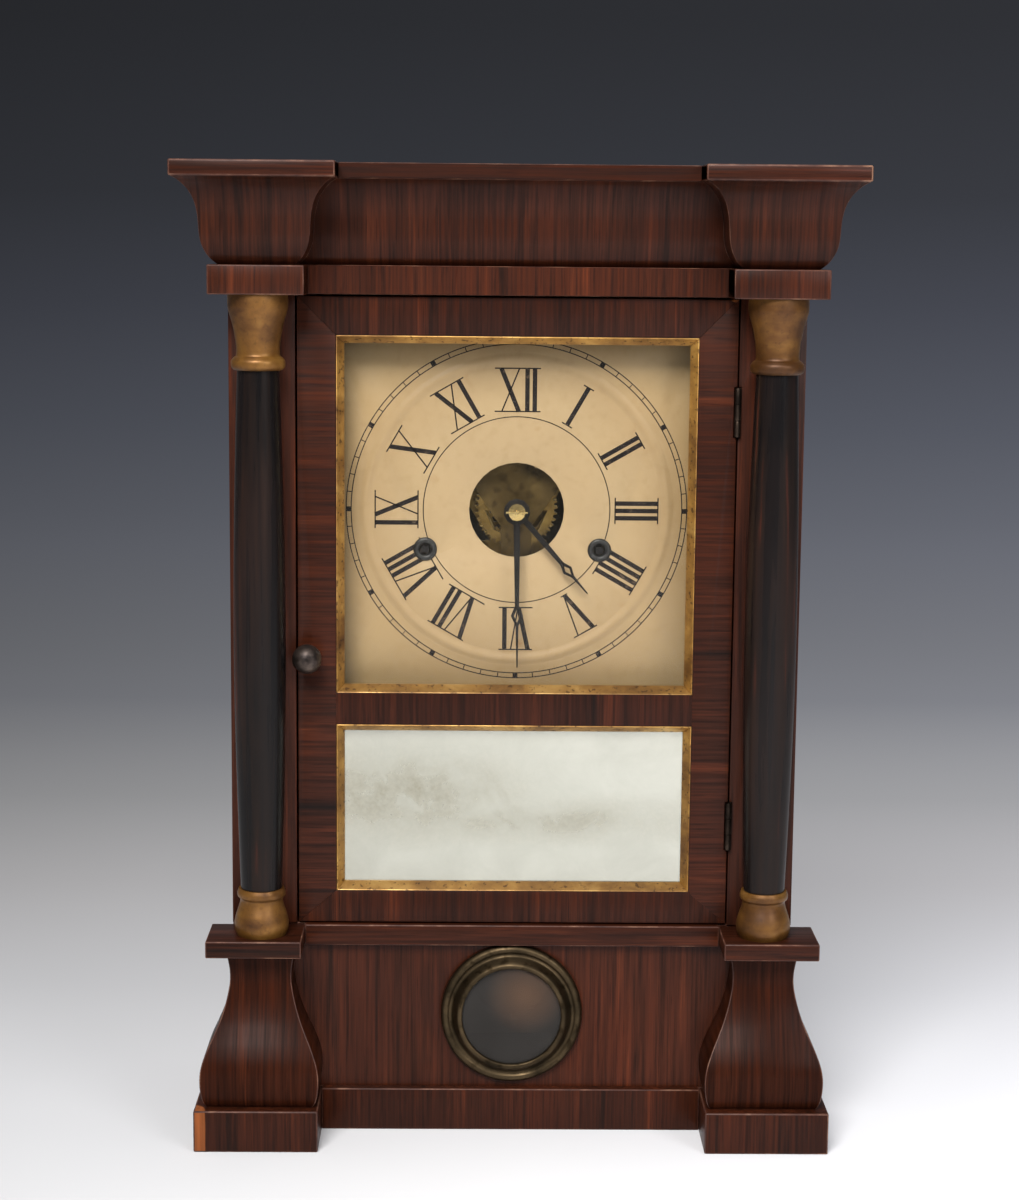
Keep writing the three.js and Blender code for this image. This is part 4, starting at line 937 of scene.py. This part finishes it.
def buildKnob():
    low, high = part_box("knob")
    face = doorLow.y - knobForm["gap"] * mm
    radius = knobForm["radius"] * mm
    centre = (middleOf("knob").x, face, high.z - radius)
    ball = low.y + radius - face
    profile = [(0, ball - radius)]
    for i in range(1, knobForm["steps"] + 1):
        angle = math.radians(i * knobForm["roundTo"] / knobForm["steps"] - 90)
        profile.append((radius * math.cos(angle), ball + radius * math.sin(angle)))
    profile += inMetres(knobForm["stem"])
    piece = turnedPiece("door_knob", profile, centre, (0, 1, 0), [knobMetal], "knob", steps=64)
    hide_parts("knob")
    behind = (Vector((0, doorHigh.y - knobForm["tongueCut"] * mm, 0)), Vector((0, 1, 0)))
    solidCopy("knob", "latch_tongue", [darkMetal], "knob", knobForm["tongueEase"] * mm, planes=[behind])


buildKnob()
for place in ("upper", "lower"):
    for body, part in (("case", "fixed"), ("door", "moving")):
        leaf = f"hinge_{place}_{body}_leaf"
        solidCopy(leaf, f"hinge_{place}_{part}", [darkMetal], body, doorForm["hingeEase"] * mm)
print("door")

# in mm: the radii of the minute track's lines, of the chapter line and of the numerals' ends, and the widths
# of their strokes; the dial's middle lies a hub's radius below the top of the minute hand
dialForm = {
    "centreX": 0.5, "hub": 5.6, "ease": 0.15, "proud": 0.06,
    "outer": 71.7, "inner": 69.6, "chapter": 39.3, "line": 0.42, "tick": 0.38, "block": 2.1,
    "numeralOut": 59.5, "numeralIn": 41.5, "thick": 1.9, "thin": 0.6, "serif": 0.55, "overhang": 0.9,
}
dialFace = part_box("dial")[0].y
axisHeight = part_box("minute_hand")[1].z - dialForm["hub"] * mm
dialMiddle = Vector((dialForm["centreX"] * mm, dialFace, axisHeight))
solidCopy("dial", "dial_plate", [paint], "case", dialForm["ease"] * mm)


# one painted stroke: a thin bar between two places in mm beside and above the dial's middle, then turned
def stroke(start, end, width, turn):
    a, b = Vector(start), Vector(end)
    middle = (a + b) / 2
    run = b - a
    lean = math.atan2(run.x, run.y)
    spin = Matrix.Rotation(turn, 4, "Y")
    place = dialMiddle + spin @ Vector((middle.x * mm, 0, middle.y * mm))
    bpy.ops.mesh.primitive_cube_add(
        size=1, location=place, rotation=(0, turn + lean, 0),
        scale=(width * mm, dialForm["proud"] * mm, run.length * mm))


# a thin ring about the dial's middle
def circleLine(radius):
    outer, inner = radius + dialForm["line"] / 2, radius - dialForm["line"] / 2
    bpy.ops.mesh.primitive_circle_add(
        vertices=160, radius=outer * mm, location=dialMiddle, rotation=(math.pi / 2, 0, 0))
    bpy.ops.mesh.extrude_region_move()
    bpy.ops.transform.resize(value=[inner / outer] * 3, center_override=dialMiddle)
    bpy.ops.mesh.select_linked()
    extrudeBy((0, -dialForm["proud"] * mm / 2, 0))


def startMarks():
    marks = startPoint()
    selectAll()
    bpy.ops.mesh.delete(type="VERT")
    return marks


def buildTrack():
    marks = startMarks()
    for line in ("outer", "inner", "chapter"):
        circleLine(dialForm[line])
    for minute in range(60):
        width = dialForm["block"] if minute % 5 == 0 else dialForm["tick"]
        stroke((0, dialForm["inner"]), (0, dialForm["outer"]), width, math.radians(minute * 6))
    closeMesh()
    settle(marks, "minute_track", [ink], "case")


# in mm: each letter's width, and where its strokes stand at its top and at its foot
letters = {
    "I": {"width": 3.1, "thick": [(0, 0)], "thin": []},
    "V": {"width": 9.4, "thick": [(-3.7, 0.3)], "thin": [(3.6, 0.6)]},
    "X": {"width": 11.2, "thick": [(-3.8, 3.6)], "thin": [(3.8, -3.5)]},
}
footOfFive = (-1.2, 2.0)  # where the serif at the foot of the V alone begins and ends
numerals = ["XII", "I", "II", "III", "IIII", "V", "VI", "VII", "VIII", "IX", "X", "XI"]


def buildNumerals():
    marks = startMarks()
    high, low = dialForm["numeralOut"], dialForm["numeralIn"]
    for hour, word in enumerate(numerals):
        turn = math.radians(hour * 30)
        total = sum(letters[letter]["width"] for letter in word)
        at = -total / 2
        for letter in word:
            form = letters[letter]
            middle = at + form["width"] / 2
            for kind in ("thick", "thin"):
                for top, foot in form[kind]:
                    stroke((middle + top, high), (middle + foot, low), dialForm[kind], turn)
            at += form["width"]
        end = total / 2 + dialForm["overhang"]
        footFrom, footTo = footOfFive if word == "V" else (-end, end)
        stroke((-end, high), (end, high), dialForm["serif"], turn)
        stroke((footFrom, low), (footTo, low), dialForm["serif"], turn)
    closeMesh()
    settle(marks, "roman_numerals", [ink], "case")


buildTrack()
buildNumerals()

# in mm: the ridge pressed into the plate between the numerals and the minute track
ridgeForm = {"from": 60.6, "to": 66.6, "rise": 0.55, "lift": 0.005, "sunk": 0.3, "steps": 24}


def buildRidge():
    inside, outside, sunk = ridgeForm["from"], ridgeForm["to"], ridgeForm["sunk"]
    profile = []
    for i in range(ridgeForm["steps"] + 1):
        t = i / ridgeForm["steps"]
        rise = ridgeForm["rise"] * math.sin(math.pi * t) ** 2 + ridgeForm["lift"]
        profile.append(((inside + (outside - inside) * t) * mm, -rise * mm))
    profile += [*inMetres([(outside, sunk), (inside, sunk)]), profile[0]]
    turnedPiece("dial_ridge", profile, dialMiddle, (0, 1, 0), [paint], "case", steps=160)


buildRidge()

# in mm: the domed black grommet of a winding hole: the dome's middle radius, half width and rise, and the
# corners of the sleeve behind it, each a radius and a depth behind the dial's face
grommetForm = {
    "middle": 3.75,
    "half": 1.25,
    "rise": 0.95,
    "sleeve": [(2.5, 2.2), (4.7, 2.2), (4.7, 0.02)],
    "steps": 12,
}
grommetBlack = metal("grommet_black", (0.004, 0.004, 0.004), (0.012, 0.012, 0.012), 0.3, 0.45, 120, 0.0)


def buildGrommet(name, arbor):
    form = grommetForm
    centre = middleOf(arbor)
    centre.y = dialFace
    profile = []
    for i in range(form["steps"] + 1):
        angle = math.pi * i / form["steps"]
        radius = form["middle"] + form["half"] * math.cos(angle)
        profile.append((radius * mm, -form["rise"] * mm * math.sin(angle)))
    profile += [*inMetres(form["sleeve"]), profile[0]]
    turnedPiece(name, profile, centre, (0, 1, 0), [grommetBlack], "case", steps=48)


buildGrommet("time_grommet", "time_winding_arbor")
buildGrommet("strike_grommet", "strike_winding_arbor")
print("dial")

handEase = 0.14 * mm
solidCopy("minute_hand", "minute_hand_eased", [blackSteel], "minute", handEase)
solidCopy("hour_hand", "hour_hand_eased", [blackSteel], "hour", handEase)


# a copy of a solid with its rounded faces shown smooth
def smoothCopy(node, name, finish, body, degrees=50):
    piece = solidCopy(node, name, [finish], body, 0.04 * mm, segments=1, angle=60)
    smoothByAngle(piece, degrees)


gongSteel = metal("gong_blue", (0.03, 0.035, 0.05), (0.10, 0.11, 0.14), 0.25, 0.4, 60)
smoothCopy("gong", "wire_gong", gongSteel, "case", degrees=65)
smoothCopy("pendulum_rod", "pendulum_rod_smooth", steel, "pendulum")
smoothCopy("hammer", "strike_hammer", steel, "hammer")
smoothCopy("front_plate", "front_plate_smooth", plateBrass, "case")
smoothCopy("back_plate", "back_plate_smooth", backBrassShaded, "case")

# the front half of the bob's section: shares of its radius and of half its thickness
bobCurve = [(0, -1), (0.3, -0.97), (0.55, -0.85), (0.78, -0.62), (0.9, -0.4), (0.99, -0.12), (1, 0)]


def buildBob():
    low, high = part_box("pendulum_bob")
    radius, half = (high.x - low.x) / 2, (high.y - low.y) / 2
    backHalf = [(r, -h) for r, h in reversed(bobCurve[:-1])]
    profile = [(r * radius, h * half) for r, h in bobCurve + backHalf]
    piece = turnedPiece("brass_bob", profile, middleOf("pendulum_bob"), (0, 1, 0), [brass], "pendulum")
    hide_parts("pendulum_bob")


buildBob()
print("hands and movement")

# a paper sweep, in m; its painted shade and light go with height, with depth, and sideways with the slope
# from the camera
studio = {
    "width": 7.0,
    "depth": 4.2,
    "rise": 3.6,
    "curve": 0.9,
    "front": -2.2,
    "wallTo": 1.6,
    "wall": [(0.0, 1), (0.04, (0.92, 0.93, 0.98)), (0.11, (0.68, 0.70, 0.77)),
             (0.19, (0.49, 0.50, 0.56)), (0.27, (0.35, 0.355, 0.38)), (0.40, (0.27, 0.27, 0.28)),
             (1.0, 0.2)],
    "floorFrom": -0.2,
    "floorTo": 2.0,
    "floor": [(0.0, (0.98, 0.98, 0.99)), (0.09, (0.90, 0.90, 0.92)), (0.17, (0.66, 0.66, 0.68)),
              (0.26, (0.50, 0.49, 0.50)), (0.36, (0.34, 0.34, 0.35)), (0.52, (0.205, 0.21, 0.23)),
              (0.77, (0.135, 0.14, 0.155)), (1.0, (0.10, 0.105, 0.118))],
    "eye": 1.0,
    "slope": 0.25,
    "sideways": [(0.0, 0.68), (0.5, 0.92), (1.0, (1.10, 1.10, 1.12))],
    "paper": [(0.3, (0.80, 0.80, 0.81)), (0.7, (0.84, 0.84, 0.85))],
    "glowFrom": -0.1,
    "glowTo": 0.8,
}


# paper near the part, with painted shade deepening with depth; further back, the camera sees the same painted
# shades glow
def studioPaper():
    f = Finish("studio_paper")
    x, y, z = f.coordinates()
    wall = f.ramp(f.spread(z, 0, 1, 0.0, studio["wallTo"]), studio["wall"])
    ground = f.ramp(f.spread(y, 0, 1, studio["floorFrom"], studio["floorTo"]), studio["floor"])
    distance = f.math("MAXIMUM", f.math("ADD", y, studio["eye"]), 0.5)
    slope = f.spread(f.math("DIVIDE", x, distance), 0, 1, -studio["slope"], studio["slope"])
    across = f.ramp(slope, studio["sideways"])
    ground = f.tint(1.0, ground, across)
    glow = f.nodes.new("ShaderNodeEmission")
    f.link(f.tint(1.0, wall, ground), glow.inputs["Color"])
    path = f.nodes.new("ShaderNodeLightPath")
    seen = f.math("MAXIMUM", path.outputs["Is Camera Ray"], path.outputs["Is Transmission Ray"])
    # painted shade: the lit paper's colour darkens with depth, as the ground shades do
    f.colour(f.tint(0.8, f.ramp(f.noise(3, 3, 0.5), studio["paper"]), ground))
    f.set(Roughness=0.9)
    glowing = f.math("MULTIPLY", seen, f.spread(y, 0.0, 1.0, studio["glowFrom"], studio["glowTo"]))
    f.link(f.over(glowing, f.shader, glow).outputs[0], f.output.inputs["Surface"])
    return f.material


# selects the edges whose two ends both pass a test, and opens the mesh for editing
def selectEdges(piece, test):
    setMode("EDIT")
    bpy.ops.mesh.select_mode(type="EDGE")
    bpy.ops.mesh.select_all(action="DESELECT")
    setMode("OBJECT")
    for edge in piece.data.edges:
        edge.select = all(test(piece.data.vertices[end].co) for end in edge.vertices)
    setMode("EDIT")


def buildStage():
    back, near = studio["front"] + studio["depth"], 0.001
    deselectAll()
    bpy.ops.mesh.primitive_plane_add(size=1, location=(0, 0, 0))
    sweep = bpy.context.object
    sweep.scale = (studio["width"], studio["depth"], 1)
    sweep.location = (0, studio["front"] + studio["depth"] / 2, 0)
    bpy.ops.object.transform_apply(location=True, rotation=False, scale=True)
    selectEdges(sweep, lambda end: end.y > back - near)
    extrudeBy((0, 0, studio["rise"]))
    selectEdges(sweep, lambda end: abs(end.y - back) < near and end.z < near)
    bpy.ops.mesh.bevel(offset=studio["curve"], segments=24, affect="EDGES")
    setMode("OBJECT")
    bpy.ops.object.shade_smooth()
    sweep.name = "studio_sweep"
    sweep.data.materials.append(studioPaper())


buildStage()

# each lamp: its place, the width of its square, its power and its colour
lampAim = Vector((0, 0, 0.2))
lamps = {
    "key_soft": {"place": (-0.35, -1.35, 1.5), "width": 0.8, "power": 52, "tone": (1.0, 0.985, 0.96)},
    "fill_soft": {"place": (1.1, -1.5, 1.0), "width": 0.8, "power": 14, "tone": (0.98, 0.99, 1.0)},
    "top_soft": {"place": (0.1, 0.1, 1.9), "width": 1.4, "power": 12, "tone": (1.0, 1.0, 1.0)},
}
airLight = {"colour": (0.78, 0.82, 0.9, 1), "strength": 0.16}


def buildLights():
    for name, form in lamps.items():
        deselectAll()
        bpy.ops.object.light_add(type="AREA", location=form["place"])
        lamp = bpy.context.object
        lamp.name = name
        lamp.data.size = form["width"]
        lamp.data.energy = form["power"]
        lamp.data.color = form["tone"]
        lamp.rotation_euler = (lampAim - Vector(form["place"])).to_track_quat("-Z", "Y").to_euler()
    world = bpy.data.worlds.new("studio_air")
    bpy.context.scene.world = world
    world.use_nodes = True
    air = world.node_tree.nodes["Background"]
    air.inputs["Color"].default_value = airLight["colour"]
    air.inputs["Strength"].default_value = airLight["strength"]


buildLights()

# place in m, angles in radians, lens and sensor in mm: the view of the photograph
cameraSet = {
    "place": (-0.01613, -0.99984, 0.37612),
    "yaw": 0.01401,
    "pitch": -0.14950,
    "roll": 0.00936,
    "lens": 71.56,
    "sensor": 36,
    "near": 0.05,
    "far": 20,
}


def buildCamera():
    yaw, pitch, roll = cameraSet["yaw"], cameraSet["pitch"], cameraSet["roll"]
    ahead = Vector((math.sin(yaw) * math.cos(pitch), math.cos(yaw) * math.cos(pitch), math.sin(pitch)))
    side = Vector((math.cos(yaw), -math.sin(yaw), 0))
    up = side.cross(ahead)
    tiltedSide = side * math.cos(roll) + up * math.sin(roll)
    tiltedUp = up * math.cos(roll) - side * math.sin(roll)
    turn = Matrix((tiltedSide, tiltedUp, -ahead)).transposed()
    deselectAll()
    bpy.ops.object.camera_add(location=cameraSet["place"], rotation=turn.to_euler())
    camera = bpy.context.object
    camera.data.lens = cameraSet["lens"]
    camera.data.sensor_width = cameraSet["sensor"]
    camera.data.sensor_fit = "AUTO"
    camera.data.dof.use_dof = False
    camera.data.clip_start = cameraSet["near"]
    camera.data.clip_end = cameraSet["far"]
    bpy.context.scene.camera = camera


buildCamera()
bpy.context.scene.view_settings.view_transform = "Standard"
print("stage, lamps and camera ready")
